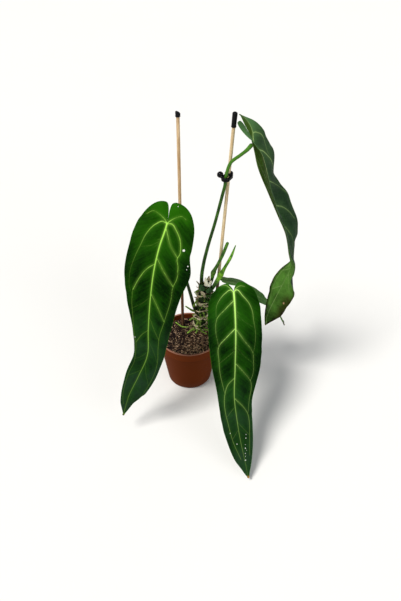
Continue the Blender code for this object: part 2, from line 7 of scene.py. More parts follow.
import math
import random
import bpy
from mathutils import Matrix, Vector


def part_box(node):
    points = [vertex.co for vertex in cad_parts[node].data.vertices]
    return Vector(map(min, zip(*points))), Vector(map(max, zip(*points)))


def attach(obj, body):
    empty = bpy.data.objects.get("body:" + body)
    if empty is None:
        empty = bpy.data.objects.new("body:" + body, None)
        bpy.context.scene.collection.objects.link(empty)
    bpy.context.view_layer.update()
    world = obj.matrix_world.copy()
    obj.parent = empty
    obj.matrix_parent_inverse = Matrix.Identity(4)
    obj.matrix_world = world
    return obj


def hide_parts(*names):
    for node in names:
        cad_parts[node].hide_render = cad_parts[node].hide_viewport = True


bl_info = {
    "name": "Queen anthurium in a nursery pot",
    "version": (1, 0, 0),
    "blender": (4, 5, 0),
    "location": "View3D > Sidebar > Anthurium",
    "description": "Builds the leaves, stalks, trunk, soil, pot, stakes and tie of a potted aroid",
    "category": "Object",
}

from collections import namedtuple

import bmesh
import bpy
import numpy as np
from bpy.props import FloatProperty, FloatVectorProperty, IntProperty, PointerProperty
from mathutils import Matrix, Vector, noise

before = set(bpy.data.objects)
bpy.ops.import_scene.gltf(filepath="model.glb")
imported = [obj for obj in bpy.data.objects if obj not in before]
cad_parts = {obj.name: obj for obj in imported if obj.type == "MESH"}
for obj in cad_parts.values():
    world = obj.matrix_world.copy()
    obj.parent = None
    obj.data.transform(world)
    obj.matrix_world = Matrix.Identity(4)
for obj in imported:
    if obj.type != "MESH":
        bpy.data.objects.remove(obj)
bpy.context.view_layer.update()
POT_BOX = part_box("pot")

# A millimetre in metres, and the gap that is left between pieces that would touch
MM = 0.001
GAP = 0.3

# The pot: its foot, the ring that it stands on and the recess inside that ring, its collar, wall,
# floor and lip, and its drain holes
POT_SIDES = 144
POT_FOOT_RADIUS = 42.0
POT_FOOT_RING = 7.5
POT_RECESS = 0.6
POT_COLLAR_MARGIN = 4.5
POT_WALL = 1.5
POT_FLOOR = 2.0
COLLAR_BOTTOM = 88.0
COLLAR_STEP = 1.4
LIP_HEIGHT = 4.0
LIP_WIDTH = 1.6
DRAIN_HOLES = 6
DRAIN_RADIUS = 4.0
DRAIN_CIRCLE = 28.0
DRAIN_DEPTH = 8.0
DRAIN_SIDES = 32

# The trunk as (x, y, z, radius), and the rings on it where old leaves stood: the height of the
# lowest, how far apart they are, how far they stand out, how far they tilt, how far the tilt turns
# from one to the next, how worn they are, how rough the skin is, and how many rings there are
TRUNK = (
    (21, 26, 74, 8.5),
    (21, 26, 88, 10.5),
    (21, 26, 104, 11.5),
    (22, 26, 130, 11.5),
    (25, 26, 160, 11.5),
    (29, 26, 190, 11.5),
    (32, 25, 207, 10.5),
    (33, 24, 214, 7.0),
)
RING_BOTTOM = 108.0
RING_SPACING = 11.5
RING_DEPTH = 2.2
RING_TILT = 4.0
RING_TURN = 2.4
RING_WEAR = 0.5
SKIN_GRAIN = 0.25
RINGS = 9
TRUNK_SIDES = 72
TRUNK_SEED = 5

# What old leaves left on the rings: a torn skirt each, and loose fibres
SKIRT_SIDES = 96
SKIRT_THICKNESS = 0.35
LOOSE_FIBRES = 150

# How high a dab of dried residue stands, as a share of its radius
DAB_RISE = 0.28

# A dry strand: its steps, its sides, and how far it wanders at each step along X, Y and Z
STRAND_STEPS = 6
STRAND_SIDES = 5
STRAND_WANDER = (0.28, 0.28, 0.2)

# The soil: its height by the wall, the mound round the trunk, its swells, how far inside the lip's
# outer edge it ends, and how far the bed lies under the chips
SOIL_HEIGHT = 98.5
SOIL_MOUND = 6.0
SOIL_MOUND_SPREAD = 24.0
SOIL_SWELL = 1.5
SOIL_SWELL_LENGTH = 14.0
SOIL_MARGIN = 4.7
SOIL_BED = 1.0
SOIL_RINGS = 40
SOIL_SIDES = 120
SOIL_SEED = 11

# A draw between 0 and 1 makes a crumb below the first of these, a flat chip below the second, and
# else a sliver. The last is how far below the pot's rim the middle of each stays
CRUMBS_BELOW = 0.3
CHIPS_BELOW = 0.58
CHIPS_UNDER_RIM = 1.5

# Stakes: where each meets FOOT_HEIGHT, the top of its cap and how high that is, its cap's length,
# how thick the cap's roof is and how far it slants, and where the noise of its wood starts
Stake = namedtuple("Stake", "name foot head height cap roof slant turn")
FOOT_HEIGHT = 100.0
STAKE_BOTTOM = 68.0
STAKE_RADIUS = 2.75
STAKE_ROWS = 90
STAKE_SIDES = 28
STAKE_UNEVEN = 0.05
STAKE_GRAIN_LENGTH = 90.0
CAP_RADIUS = 4.1
CAP_BORE = STAKE_RADIUS + 0.2
CAP_HEM = 1.9
CAP_SIDES = 40
STAKES = (
    Stake("left", (-13, 34), (-13, 33), 543.0, 9.6, 5.5, 0.5, 3.1),
    Stake("right", (45.8, 16), (73.3, 16), 548.3, 24.0, 2.5, 0.0, 8.7),
)

# The wood of each stake: light grain, dark grain and the height in metres where its dark foot
# ends. Then the colour of that foot, partly a damp stain and partly painted shade
STAKE_LOOKS = {
    "left": ((0.8, 0.6, 0.36), (0.46, 0.28, 0.13), 0.3),
    "right": ((0.86, 0.73, 0.47), (0.6, 0.42, 0.22), 0.26),
}
DAMP_WOOD_AND_SHADE = (0.075, 0.02, 0.008)

# The tie: the height of its lowest turn, the cord's radius, how far apart its turns are, how many
# it has and how many of them hold the stalk too, its ball, and the radius of the neck to the ball
TIE_HEIGHT = 439.0
TIE_CORD = 1.9
TIE_PITCH = 3.4
TIE_TURNS = 3
TIE_SHARED = 2
TIE_BALL = (52.9, 12.5, 445.1)
TIE_BALL_RADIUS = 5.2
TIE_NECK = 2.3
TIE_STEPS = 24
TIE_SIDES = 16

# Roots of the trunk as (x, y, z, radius), and those that lie on the soil as (x, y, radius)
AIR_ROOTS = (
    ((20, 24, 142, 2.2), (7, 18, 152, 2.0), (-6, 15, 165, 1.3)),
    ((22, 24, 176, 2.0), (13, 14, 177, 1.8), (9, 8, 172, 1.2)),
    ((22, 22, 132, 2.2), (17, 10, 131, 2.0), (13, 4, 126, 1.3)),
    ((25, 24, 160, 2.0), (36, 12, 160, 1.8), (40, 8, 155, 1.2)),
    ((21, 27, 124, 2.0), (8, 27, 125, 1.8), (1, 26, 121, 1.2)),
    ((28, 26, 196, 2.0), (16, 20, 199, 1.8), (11, 17, 197, 1.1)),
    ((24, 28, 150, 2.2), (30, 40, 150, 1.8), (33, 46, 143, 1.2)),
    ((26, 28, 172, 2.0), (38, 34, 174, 1.8), (44, 38, 169, 1.2)),
)
SOIL_ROOTS = (
    ((20, 22, 2.7), (7, 15, 2.5), (-3, 8, 1.6)),
    ((22, 22, 2.3), (23, 12, 2.0), (33, 5, 1.1)),
    ((18, 27, 2.2), (4, 25, 1.7), (-12, 26, 1.4), (-27, 40, 1.0)),
    ((24, 24, 2.2), (30, 14, 2.0), (37, 15, 1.1)),
    ((20, 20, 2.3), (15, 11, 1.9), (13, 7, 1.2)),
)

# How high the soil's roots leave the trunk, how far they lie over the soil, the tone of each kind
# of root between live and dry, and between which heights the short root tips stand
ROOT_START = 112.0
ROOT_LIFT = 0.6
ROOT_STEP = 0.9
ROOT_SIDES = 14
AIR_ROOT_TONE = 0.5
SOIL_ROOT_TONE = 0.75
NUB_HEIGHTS = (110, 198)

# Scales of the crown: foot, the ways each grows and faces, width, length, how far it bends out,
# tone, and look (0 dry, 1 cream, 2 green)
SCALE_THICKNESS = 0.3
SCALES = (
    ((32.5, 12.5, 217), (-0.1, 0, 1), (-0.1, -1, 0.4), 9.0, 20.0, 1.0, 1.0, 1),
    ((37, 12.5, 215), (0.3, 0, 1), (0.3, -1, 0.4), 8.0, 16.0, 1.0, 1.0, 1),
    ((25, 14, 206), (-0.2, 0, 1), (-0.4, -1, 0.1), 15.0, 15.0, 2.0, 0.5, 2),
    ((37, 12.5, 202), (0.1, 0, 1), (0.4, -1, 0.1), 15.0, 13.0, 3.0, 0.4, 2),
    ((27, 15, 194), (-0.1, 0, 1), (-0.7, -0.8, 0.1), 13.0, 11.0, 4.0, 0.7, 0),
    ((39, 16, 192), (0.1, 0, 1), (0.6, -0.8, 0.1), 12.0, 9.0, 4.0, 0.8, 0),
    ((36, 35, 200), (0, 0, 1), (0.3, 1, 0.1), 11.0, 18.0, 5.0, 0.3, 0),
    ((22, 24, 203), (-0.2, 0, 1), (-1, 0.1, 0.1), 8.0, 15.0, 5.0, 0.4, 0),
    ((20, 17, 204), (-0.6, 0, 1), (-0.8, -0.5, 0.1), 4.0, 10.0, 1.5, 0.3, 0),
    ((18, 18, 194), (-1, 0, 0.7), (-0.6, -0.8, 0.2), 4.0, 9.0, 1.5, 0.5, 0),
    ((17, 17, 184), (-1, -0.1, 0.5), (-0.3, -1, 0.2), 4.0, 8.0, 1.0, 0.9, 0),
)

# Young shoots: route as (x, y, z, radius), dark and light colour, where the seam starts, and the
# share of the way up where the knuckle sits
Shoot = namedtuple("Shoot", "route dark light seam knuckle")
SHOOTS = {
    "shoot_dark": Shoot(
        ((36.5, 29, 199, 3.0), (42, 22, 221, 2.6), (44.3, 16.5, 243, 4.0), (51, 11, 264.5, 2.8),
         (59.8, 8, 289, 2.9), (68, 8, 314.5, 2.6)),
        (0.015, 0.06, 0.006), (0.09, 0.24, 0.02), 1.0, 0.4),
    "shoot_bright": Shoot(
        ((40, 20.5, 198, 3.2), (49.8, 8.5, 228, 3.8), (58, 6, 248.5, 4.4), (64.2, 5, 264, 2.9),
         (74.6, 5, 288, 2.6), (81.7, 5, 312, 0.9)),
        (0.02, 0.1, 0.008), (0.2, 0.47, 0.025), 0.4, 0.44),
}

# Where a stalk ends: how far past the junction, how deep the part's blade is at its edge and in its
# keel, and how much closer the finished stalk comes
STALK_SEAT = 4.0
BLADE_EDGE = 0.8
KEEL_DEPTH = 1.7
STALK_CLOSER = 0.9
STALK_SIDES = 28
STALK_STEP = 1.6

# Where a stalk is thicker or thinner, counted from its blade: how far away, how long, and by what
# share. Then how long its thicker foot is and by what share, and how deep the groove along it is
STALK_SWELLS = ((9.0, 7.5, 0.14), (18.0, 1.2, -0.06))
FOOT_REACH = 16.0
FOOT_SWELL = 0.1
STALK_GROOVE = 0.06

# A shoot: how much thicker its knuckle is and on what share of its length, and the seam of the
# rolled leaf, which turns as it goes up, with a step on one side and a groove along it
SHOOT_SIDES = 40
SHOOT_STEP = 1.2
KNUCKLE_SWELL = 0.18
KNUCKLE_REACH = 0.035
SEAM_TURN = 2.4
SEAM_STEP = 0.12
SEAM_STEP_REACH = 0.9
SEAM_GROOVE = 0.1
SEAM_GROOVE_REACH = 0.12

# A vein's half width for a width of 1, the least half width, the step along its route, and how soon
# it darkens towards its end. The midrib narrows and darkens a little later
VEIN_WIDTH = 0.5
VEIN_LEAST = 0.54
VEIN_STEP = 0.8
VEIN_DARKENS = 0.6
MIDRIB_DARKENS = 0.7
MIDRIB_NARROWS = 0.8

# The relief of a blade: how far from a vein and from the margin its quilting has risen, the small
# waves of its margin, the keel under its midrib, the ribs under its veins, and the share of its
# thickness that is left at the margin, with how far in it thins
QUILT_REACH = 9.0
QUILT_MARGIN = 7.0
FRILL_HEIGHT = 0.5
FRILL_REACH = 9.0
FRILL_LENGTH = 5.3
FRILL_CHANGE = 17.0
FRILL_FADE = 40.0
KEEL_HEIGHT = 1.6
KEEL_REACH = 2.8
KEEL_TAPER = 0.6
KEEL_FADE = 12.0
UNDER_RIB = 0.55
THIN_EDGE = 0.55
THIN_REACH = 3.0

# Distances from the margin that stand for a place far inside: on the midline down to where the tip
# starts, and for rows without a notch between two lobes
MIDLINE_INSIDE = 30.0
TIP_LENGTH = 12.0
NO_NOTCH = 99.0

# The colours of each blade: deep green, green, and its veins
BLADE_LOOKS = {
    "left": ((0.001, 0.01, 0.0005), (0.012, 0.078, 0.001), (0.36, 0.7, 0.09)),
    "front": ((0.001, 0.01, 0.0005), (0.011, 0.072, 0.0013), (0.5, 0.84, 0.18)),
    "tall": ((0.014, 0.038, 0.014), (0.046, 0.108, 0.034), (0.44, 0.66, 0.22)),
    "back": ((0.025, 0.075, 0.016), (0.08, 0.19, 0.04), (0.4, 0.56, 0.2)),
}

# The colours of each underside: at the top of the blade and towards its tip. On the tall blade the
# top one is darkened as painted shade
UNDERSIDES = {
    "left": ((0.04, 0.1, 0.025), (0.05, 0.13, 0.03)),
    "front": ((0.04, 0.1, 0.025), (0.05, 0.13, 0.03)),
    "tall": ((0.024, 0.052, 0.005), (0.066, 0.168, 0.024)),
    "back": ((0.06, 0.12, 0.04), (0.06, 0.12, 0.04)),
}

# The painted shade on the inner side of the tall blade's far lobe, where it curls under
LOBE_CURL_SHADES = {"tall": (0.04, 0.085, 0.004)}

# What the finish of a blade adds: a painted bluish sheen on its lower half, and its dry tip
LOWER_SHEEN = (0.011, 0.03, 0.013)
DRY_TIP = (0.35, 0.17, 0.04)

# What the finish of an underside adds: a painted sheen on its lobes, its brown margin, a painted
# highlight on its rolled margin, blemishes, a darker side of its tip and a scar there, with the
# scar's place as (across, along)
LOBE_SHEEN = (0.075, 0.19, 0.075)
BROWN_MARGIN = (0.04, 0.02, 0.008)
MARGIN_HIGHLIGHT = (0.5, 0.4, 0.26)
BLEMISH = (0.28, 0.2, 0.08)
DARK_TIP_SIDE = (0.026, 0.027, 0.006)
SCAR = (0.5, 0.3, 0.17)
SCAR_PLACE = (-17.4, 324.0)

# Colours of the other finishes: painted shade in the notch over a ring of the trunk, the ring of a
# shoot's knuckle, the pot's dust, and two tones each of dried residue, cream scales and green sheaths
NOTCH_SHADE = (0.012, 0.011, 0.006)
KNUCKLE_BROWN = (0.09, 0.06, 0.02)
POT_DUST = (0.12, 0.085, 0.06)
RESIDUE = ((0.5, 0.52, 0.44), (0.85, 0.86, 0.8))
CREAM_SCALE = ((0.95, 0.92, 0.78), (0.8, 0.68, 0.42))
GREEN_SHEATH = ((0.035, 0.13, 0.02), (0.008, 0.035, 0.005))

# The colours of each stalk: dark and light
STALK_LOOKS = {
    "left": ((0.008, 0.02, 0.004), (0.03, 0.06, 0.01)),
    "front": ((0.015, 0.045, 0.005), (0.045, 0.12, 0.012)),
    "tall": ((0.01, 0.042, 0.003), (0.045, 0.14, 0.01)),
    "back": ((0.015, 0.05, 0.005), (0.045, 0.13, 0.012)),
}

# The camera's place and tilt, its sensor's width, and the heading, spread and colour of each light
CAMERA_PLACE = (0.0216, -0.894, 0.956)
CAMERA_TILT = 49.5
SENSOR_WIDTH = 36.0
KEY_LIGHT = ((0.5, 0.35, -1.0), 22.0, (1.0, 0.985, 0.95))
FILL_LIGHT = ((-0.7, 0.75, -0.55), 40.0, (0.96, 0.98, 1.0))

# A station of a blade: a point of its midrib, the way its upper face looks, the width of its two
# halves with the tip down, how far they fold up in degrees, and how much further the left one does.
# The stations go from the lobe tops over the junction to the tip
Station = namedtuple("Station", "point facing left right fold more", defaults=(0,))
STATIONS = {
    "left": (
        Station((-26, -21, 415), (0.05, -0.75, 0.66), 0, 0, 8),
        Station((-32, -32, 382), (0.05, -0.72, 0.69), 51, 52, 8),
        Station((-45, -50, 348), (0.02, -0.76, 0.65), 48.5, 52, 10),
        Station((-53, -65, 320), (0.0, -0.78, 0.62), 49, 60, 10),
        Station((-61, -87, 272), (0.0, -0.8, 0.6), 40, 48, 12),
        Station((-66, -107, 219), (0.0, -0.82, 0.57), 26, 37.5, 14),
        Station((-69, -120, 173), (0.05, -0.85, 0.5), 23.5, 28.5, 16),
        Station((-87, -129, 128), (0.1, -0.85, 0.5), 22.5, 28.5, 14),
        Station((-106, -139, 87), (0.15, -0.85, 0.5), 14, 20, 12),
        Station((-112.8, -143, 64), (0.18, -0.85, 0.47), 8.5, 8.5, 10),
        Station((-118, -146, 45), (0.2, -0.85, 0.45), 0, 0, 8),
    ),
    "front": (
        Station((77, -31, 258.5), (0.05, -0.62, 0.78), 0, 0, 6),
        Station((79, -40, 246), (0.0, -0.7, 0.71), 47, 45, 6),
        Station((81, -64, 225), (0.0, -0.75, 0.66), 47, 45, 8),
        Station((82, -96, 195), (0.0, -0.76, 0.65), 47, 46, 10),
        Station((81, -131, 152), (0.0, -0.76, 0.65), 40, 43, 12),
        Station((80, -167, 110), (-0.05, -0.74, 0.67), 28, 30.5, 14),
        Station((84, -187, 85), (0.0, -0.74, 0.67), 27, 27, 14),
        Station((91, -212, 52), (0.0, -0.76, 0.65), 22.5, 21.5, 12),
        Station((98, -233, 29), (0.0, -0.8, 0.6), 15.5, 12.5, 10),
        Station((103.8, -255, 8.8), (0.0, -0.8, 0.6), 0, 0, 8),
    ),
    "tall": (
        Station((81.2, 0, 546.6), (0.82, -0.33, 0.47), 0, 0, -14, 7),
        Station((101.8, 0, 505.9), (0.9, -0.41, -0.12), 20, 42, 6, 42),
        Station((113, 0, 464.5), (0.91, -0.31, 0.27), 43, 58, 17, 24),
        Station((132, 0, 419), (0.88, -0.32, 0.35), 41, 58, 4, 30),
        Station((151, 0, 375), (0.85, -0.37, 0.36), 39, 47, 14, 23),
        Station((166, 0, 340), (0.88, -0.36, 0.3), 36, 43, 20, 9),
        Station((175, 0, 300), (0.96, -0.19, 0.18), 42, 35, 18, 6),
        Station((181, 0, 265), (0.99, -0.11, -0.09), 37, 32, 10),
        Station((173, 0, 240), (0.9, 0.35, -0.26), 32, 28, 7, 5),
        Station((160, 0, 201), (0.8, 0.56, -0.23), 28, 26, 18, 6),
        Station((149, 0, 164), (0.77, 0.61, -0.19), 21, 17, 27, 6),
        Station((144, 0, 131), (0.77, 0.62, -0.17), 0, 0, 24, 3),
    ),
    "back": (
        Station((59, 12, 229), (0.1, 0.45, 0.88), 0, 0, 12),
        Station((69, 14, 226), (0.25, 0.45, 0.86), 30, 27, 12),
        Station((84, 18, 219), (0.35, 0.4, 0.85), 30, 27, 12),
        Station((112, 28, 189), (0.45, 0.05, 0.89), 22, 25, 16),
        Station((146, 40, 157), (0.65, 0.0, 0.76), 14, 14, 14),
        Station((177, 50, 113), (0.85, 0.0, 0.53), 3.5, 3.5, 10),
        Station((190, 52, 83), (0.92, 0.0, 0.4), 0, 0, 8),
    ),
}

# A vein: its route over the blade as (across, along) from the junction, its width at both ends, and
# how pale it is at both ends
Vein = namedtuple("Vein", "route wide pale")
VEINS = {
    "left": (
        Vein(((0, 0), (-8, -2), (-17, 6), (-26, 25), (-30, 44), (-35, 66), (-38, 88), (-37, 106),
              (-30, 126)), (1.7, 0.8), (1.0, 0.1)),
        Vein(((0, 0), (8, -1), (17, 6), (28, 18), (34, 33), (35, 43), (33, 50), (37, 64), (39, 88),
              (35, 102), (34, 126), (26, 166), (18, 202), (17, 222), (20, 240), (23, 262),
              (23, 290), (18, 330), (8, 352)), (1.5, 0.55), (1.0, 0.15)),
        Vein(((0, 0), (-5, -6), (-14, -13), (-25, -17), (-35, -9)), (1.5, 0.8), (1.0, 0.5)),
        Vein(((0, 0), (3, -4), (11, -11), (21, -15), (29, -11)), (1.4, 0.8), (1.0, 0.5)),
        Vein(((2, 10), (16, 31), (33, 50)), (1.2, 1.0), (0.85, 0.75)),
        Vein(((0, 57), (18, 80), (35, 102)), (1.1, 1.0), (0.85, 0.75)),
        Vein(((0, 118), (13, 140), (26, 166)), (1.1, 0.9), (0.8, 0.65)),
        Vein(((1, 160), (10, 182), (18, 202)), (0.8, 0.8), (0.35, 0.4)),
        Vein(((1, 205), (10, 224), (19, 240)), (0.6, 0.6), (0.2, 0.15)),
        Vein(((1, 250), (11, 270), (23, 290)), (0.6, 0.6), (0.2, 0.15)),
        Vein(((0, 28), (-12, 40), (-29, 47)), (0.7, 0.7), (0.35, 0.25)),
        Vein(((0, 68), (-11, 78), (-22, 96), (-30, 116)), (1.2, 0.9), (0.75, 0.7)),
        Vein(((-30, 114), (-30, 134), (-27, 158), (-24, 186), (-21, 206), (-21, 228), (-18, 254),
              (-18, 280), (-12, 320), (-5, 345)), (0.8, 0.6), (0.4, 0.2)),
        Vein(((0, 124), (-13, 137), (-28, 146)), (0.7, 0.6), (0.3, 0.2)),
        Vein(((0, 184), (-11, 192), (-21, 206)), (0.9, 0.7), (0.5, 0.4)),
        Vein(((0, 225), (-10, 236), (-20, 246)), (0.6, 0.5), (0.2, 0.15)),
        Vein(((1, 262), (-8, 274), (-18, 284)), (0.6, 0.5), (0.2, 0.15)),
    ),
    "front": (
        Vein(((0, 0), (-5, -4), (-15, 1), (-24, 10), (-31, 22), (-33, 42)), (1.6, 0.8), (1.0, 0.25)),
        Vein(((0, 0), (5, -3), (15, 8), (26, 23), (30, 36), (31, 48), (34, 70), (33, 92), (30, 106)),
             (1.6, 0.8), (1.0, 0.2)),
        Vein(((0, 0), (-4, -5), (-12, -13), (-21, -13)), (1.3, 0.7), (0.95, 0.45)),
        Vein(((0, 0), (4, -5), (12, -9), (20, -7)), (1.3, 0.7), (0.95, 0.45)),
        Vein(((0, 14), (-16, 29), (-31, 45), (-34, 70), (-31, 86), (-29, 96)), (1.3, 0.7),
             (0.8, 0.35)),
        Vein(((0, 63), (-15, 78), (-29, 96), (-28, 120), (-25, 144), (-20, 162), (-16, 176)),
             (1.3, 0.7), (0.85, 0.35)),
        Vein(((0, 148), (-12, 162), (-16, 176), (-18, 202), (-16, 226), (-13, 256), (-6, 290)),
             (1.0, 0.6), (0.6, 0.3)),
        Vein(((0, 100), (-12, 111), (-27, 124)), (0.7, 0.6), (0.25, 0.2)),
        Vein(((0, 198), (-9, 206), (-17, 214)), (0.6, 0.6), (0.25, 0.2)),
        Vein(((0, 238), (-7, 246), (-14, 254)), (0.6, 0.5), (0.2, 0.2)),
        Vein(((0, 64), (13, 82), (30, 106), (31, 118), (31, 140), (27, 152)), (1.1, 0.9),
             (0.85, 0.3)),
        Vein(((1, 124), (15, 138), (27, 152), (25, 188), (20, 214)), (1.0, 0.8), (0.75, 0.25)),
        Vein(((1, 184), (13, 198), (20, 214), (20, 232), (17, 252), (10, 286)), (1.0, 0.6),
             (0.7, 0.2)),
        Vein(((0, 34), (13, 50), (31, 62)), (0.6, 0.6), (0.25, 0.2)),
        Vein(((1, 94), (13, 108), (30, 122)), (0.6, 0.6), (0.2, 0.2)),
        Vein(((1, 226), (9, 238), (17, 250)), (0.6, 0.6), (0.25, 0.2)),
    ),
    "tall": (
        Vein(((0, 0), (4.9, -7.7), (8.5, -11.3), (14.7, -9.5), (20, -5), (25, -0.7), (31, 9),
              (33, 20), (36, 40), (42, 62)), (2.0, 1.2), (0.95, 0.3)),
        Vein(((8.5, -11.3), (14.6, -22.7), (18.8, -33.3), (21, -42)), (1.6, 1.2), (0.8, 0.6)),
        Vein(((42, 62), (48, 90), (46, 125), (38, 165), (32, 200), (26, 240), (21, 280), (18, 320),
              (10, 350)), (0.7, 0.6), (0.2, 0.15)),
        Vein(((1, 8), (11, 18), (19.7, 25), (28, 35.4), (34.7, 48), (41.6, 63), (49, 78)),
             (1.8, 1.4), (0.9, 0.6)),
        Vein(((1, 62), (9, 74), (19, 84), (32.8, 98), (42, 111), (47, 128)), (1.8, 1.4),
             (0.8, 0.5)),
        Vein(((0, 114), (5.2, 122), (15.6, 132.4), (25.7, 149), (34, 172)), (1.8, 1.3),
             (0.8, 0.5)),
        Vein(((0, 156), (6, 175), (15.7, 200), (22, 222)), (1.4, 1.0), (0.7, 0.4)),
        Vein(((1, 210), (10, 222), (23, 240)), (0.9, 0.7), (0.5, 0.3)),
        Vein(((1, 250), (9, 260), (21, 276)), (0.8, 0.6), (0.4, 0.3)),
        Vein(((1, 295), (9, 306), (18, 318)), (0.7, 0.6), (0.35, 0.3)),
        Vein(((0, 0), (-9, -8), (-17, -18), (-24, -14), (-30, -2), (-34, 20), (-33, 46)),
             (1.2, 0.6), (0.6, 0.2)),
        Vein(((-1, 26), (-13, 40), (-33, 62)), (0.8, 0.7), (0.4, 0.25)),
        Vein(((-1, 74), (-13, 90), (-31, 112)), (0.8, 0.7), (0.4, 0.25)),
        Vein(((-1, 120), (-13, 136), (-30, 158)), (0.8, 0.7), (0.4, 0.25)),
        Vein(((-1, 168), (-12, 184), (-28, 206)), (0.8, 0.6), (0.4, 0.25)),
        Vein(((-1, 220), (-10, 233), (-22, 248)), (0.8, 0.6), (0.4, 0.3)),
        Vein(((-1, 267), (-9, 278), (-18, 292)), (0.7, 0.6), (0.35, 0.3)),
    ),
    "back": (
        Vein(((0, 0), (5, -4), (11, 1), (17, 16), (19, 40), (17, 66), (12, 96), (5, 130)),
             (1.0, 0.5), (0.7, 0.25)),
        Vein(((0, 0), (-5, -4), (-10, 1), (-15, 16), (-17, 40), (-15, 66), (-11, 96), (-5, 130)),
             (1.0, 0.5), (0.7, 0.25)),
        Vein(((0, 12), (8, 22), (19, 34)), (0.7, 0.5), (0.45, 0.3)),
        Vein(((0, 34), (8, 44), (17, 56)), (0.7, 0.5), (0.4, 0.25)),
        Vein(((0, 62), (7, 72), (13, 84)), (0.6, 0.5), (0.35, 0.25)),
        Vein(((0, 8), (-8, 18), (-17, 30)), (0.7, 0.5), (0.45, 0.3)),
        Vein(((0, 30), (-8, 40), (-16, 52)), (0.7, 0.5), (0.4, 0.25)),
        Vein(((0, 58), (-7, 68), (-13, 80)), (0.6, 0.5), (0.35, 0.25)),
    ),
}

# A leaf: how far each lobe top stands from the midline, how close the lobes stay (2 for a round
# notch, more for a narrower one), the droop of its margins in degrees, its edge wave (height,
# length, phase), its stalk as (x, y, z, radius) and that stalk's last radius, its midrib (width at
# both ends, how pale it is at both ends), and its specks as (across, along, radius)
Leaf = namedtuple("Leaf", "name lobe sinus droop wave stalk stalk_end midrib specks")
LEAVES = (
    Leaf(
        name="left",
        lobe=9.0,
        sinus=3.2,
        droop=14.0,
        wave=(2.0, 74.0, 0.5),
        stalk=((20, 25, 128, 3.6), (12, 22, 150, 3.4), (3, 18, 193, 3.0), (-3, 12, 226, 2.8),
               (-14, -4, 292, 2.6), (-25, -22, 352, 2.8)),
        stalk_end=3.3,
        midrib=(2.8, 0.7, 1.0, 0.4),
        specks=((39, 32, 2.2), (13, -30, 0.8), (53, 60, 1.2), (52, 66, 0.8), (-22, 196, 0.8)),
    ),
    Leaf(
        name="front",
        lobe=11.0,
        sinus=1.6,
        droop=16.0,
        wave=(1.8, 66.0, 2.1),
        stalk=((29, 21, 177, 3.4), (36, 8, 183, 3.2), (44, -7, 192, 2.8), (57, -18, 214, 2.7),
               (70, -27, 236, 2.7)),
        stalk_end=3.0,
        midrib=(3.3, 0.7, 1.0, 0.25),
        specks=((10, 254, 0.8), (5.5, 272, 0.9), (3.6, 281, 0.6), (1.4, 292, 0.9), (-7, 262, 0.8),
                (-15, 242, 0.7), (7, 266, 0.5), (2.8, 286, 0.5), (11.4, 248, 0.6), (6.4, 276, 0.5)),
    ),
    Leaf(
        name="tall",
        lobe=12.2,
        sinus=3.6,
        droop=8.0,
        wave=(2.0, 70.0, 1.2),
        stalk=((25, 26, 198, 3.8), (23.5, 26, 219, 3.4), (27, 24, 258, 3.2), (32.8, 21, 291, 3.0),
               (47, 14, 357, 2.7), (57.2, 11, 408.5, 2.7), (60.6, 9.5, 426, 2.7), (62, 7, 444, 2.7),
               (69.5, 7, 470, 2.7), (83.1, 5, 483, 2.7), (93.5, 4, 493, 2.7)),
        stalk_end=3.3,
        midrib=(2.2, 0.6, 0.75, 0.35),
        specks=(),
    ),
    Leaf(
        name="back",
        lobe=5.0,
        sinus=2.0,
        droop=10.0,
        wave=(1.0, 48.0, 0.8),
        stalk=((30, 18, 190, 3.2), (38, 10, 196, 2.8), (48, 3, 206, 2.5), (57, 5, 213, 2.4)),
        stalk_end=2.5,
        midrib=(1.6, 0.4, 0.75, 0.35),
        specks=(),
    ),
)


def along(rows):
    """The distance of each row's point from the first, along the straight lines between them."""
    steps = np.linalg.norm(np.diff(rows, axis=0), axis=1)
    return np.concatenate([[0.0], np.cumsum(steps)])


def smooth(rows, knots, where):
    """Every column of rows at the distances in where, as one smooth curve through the knots."""
    slopes = np.gradient(rows, knots, axis=0)
    index = np.clip(np.searchsorted(knots, where, side="right") - 1, 0, len(knots) - 2)
    span = knots[index + 1] - knots[index]
    t = ((where - knots[index]) / span)[:, None]
    start, end = rows[index], rows[index + 1]
    leave, arrive = slopes[index] * span[:, None], slopes[index + 1] * span[:, None]
    return (
        (2 * t**3 - 3 * t**2 + 1) * start
        + (t**3 - 2 * t**2 + t) * leave
        + (3 * t**2 - 2 * t**3) * end
        + (t**3 - t**2) * arrive
    )


def unit(vectors):
    """The vectors, each with a length of 1."""
    return vectors / np.linalg.norm(vectors, axis=-1, keepdims=True)


def round_angles(sides):
    """The angles of points that stand evenly round a circle."""
    return 2 * math.pi * np.arange(sides) / sides


def bell(distance, reach):
    """1 at no distance, falling to 0 past reach on both sides."""
    return np.exp(-((distance / reach) ** 2))


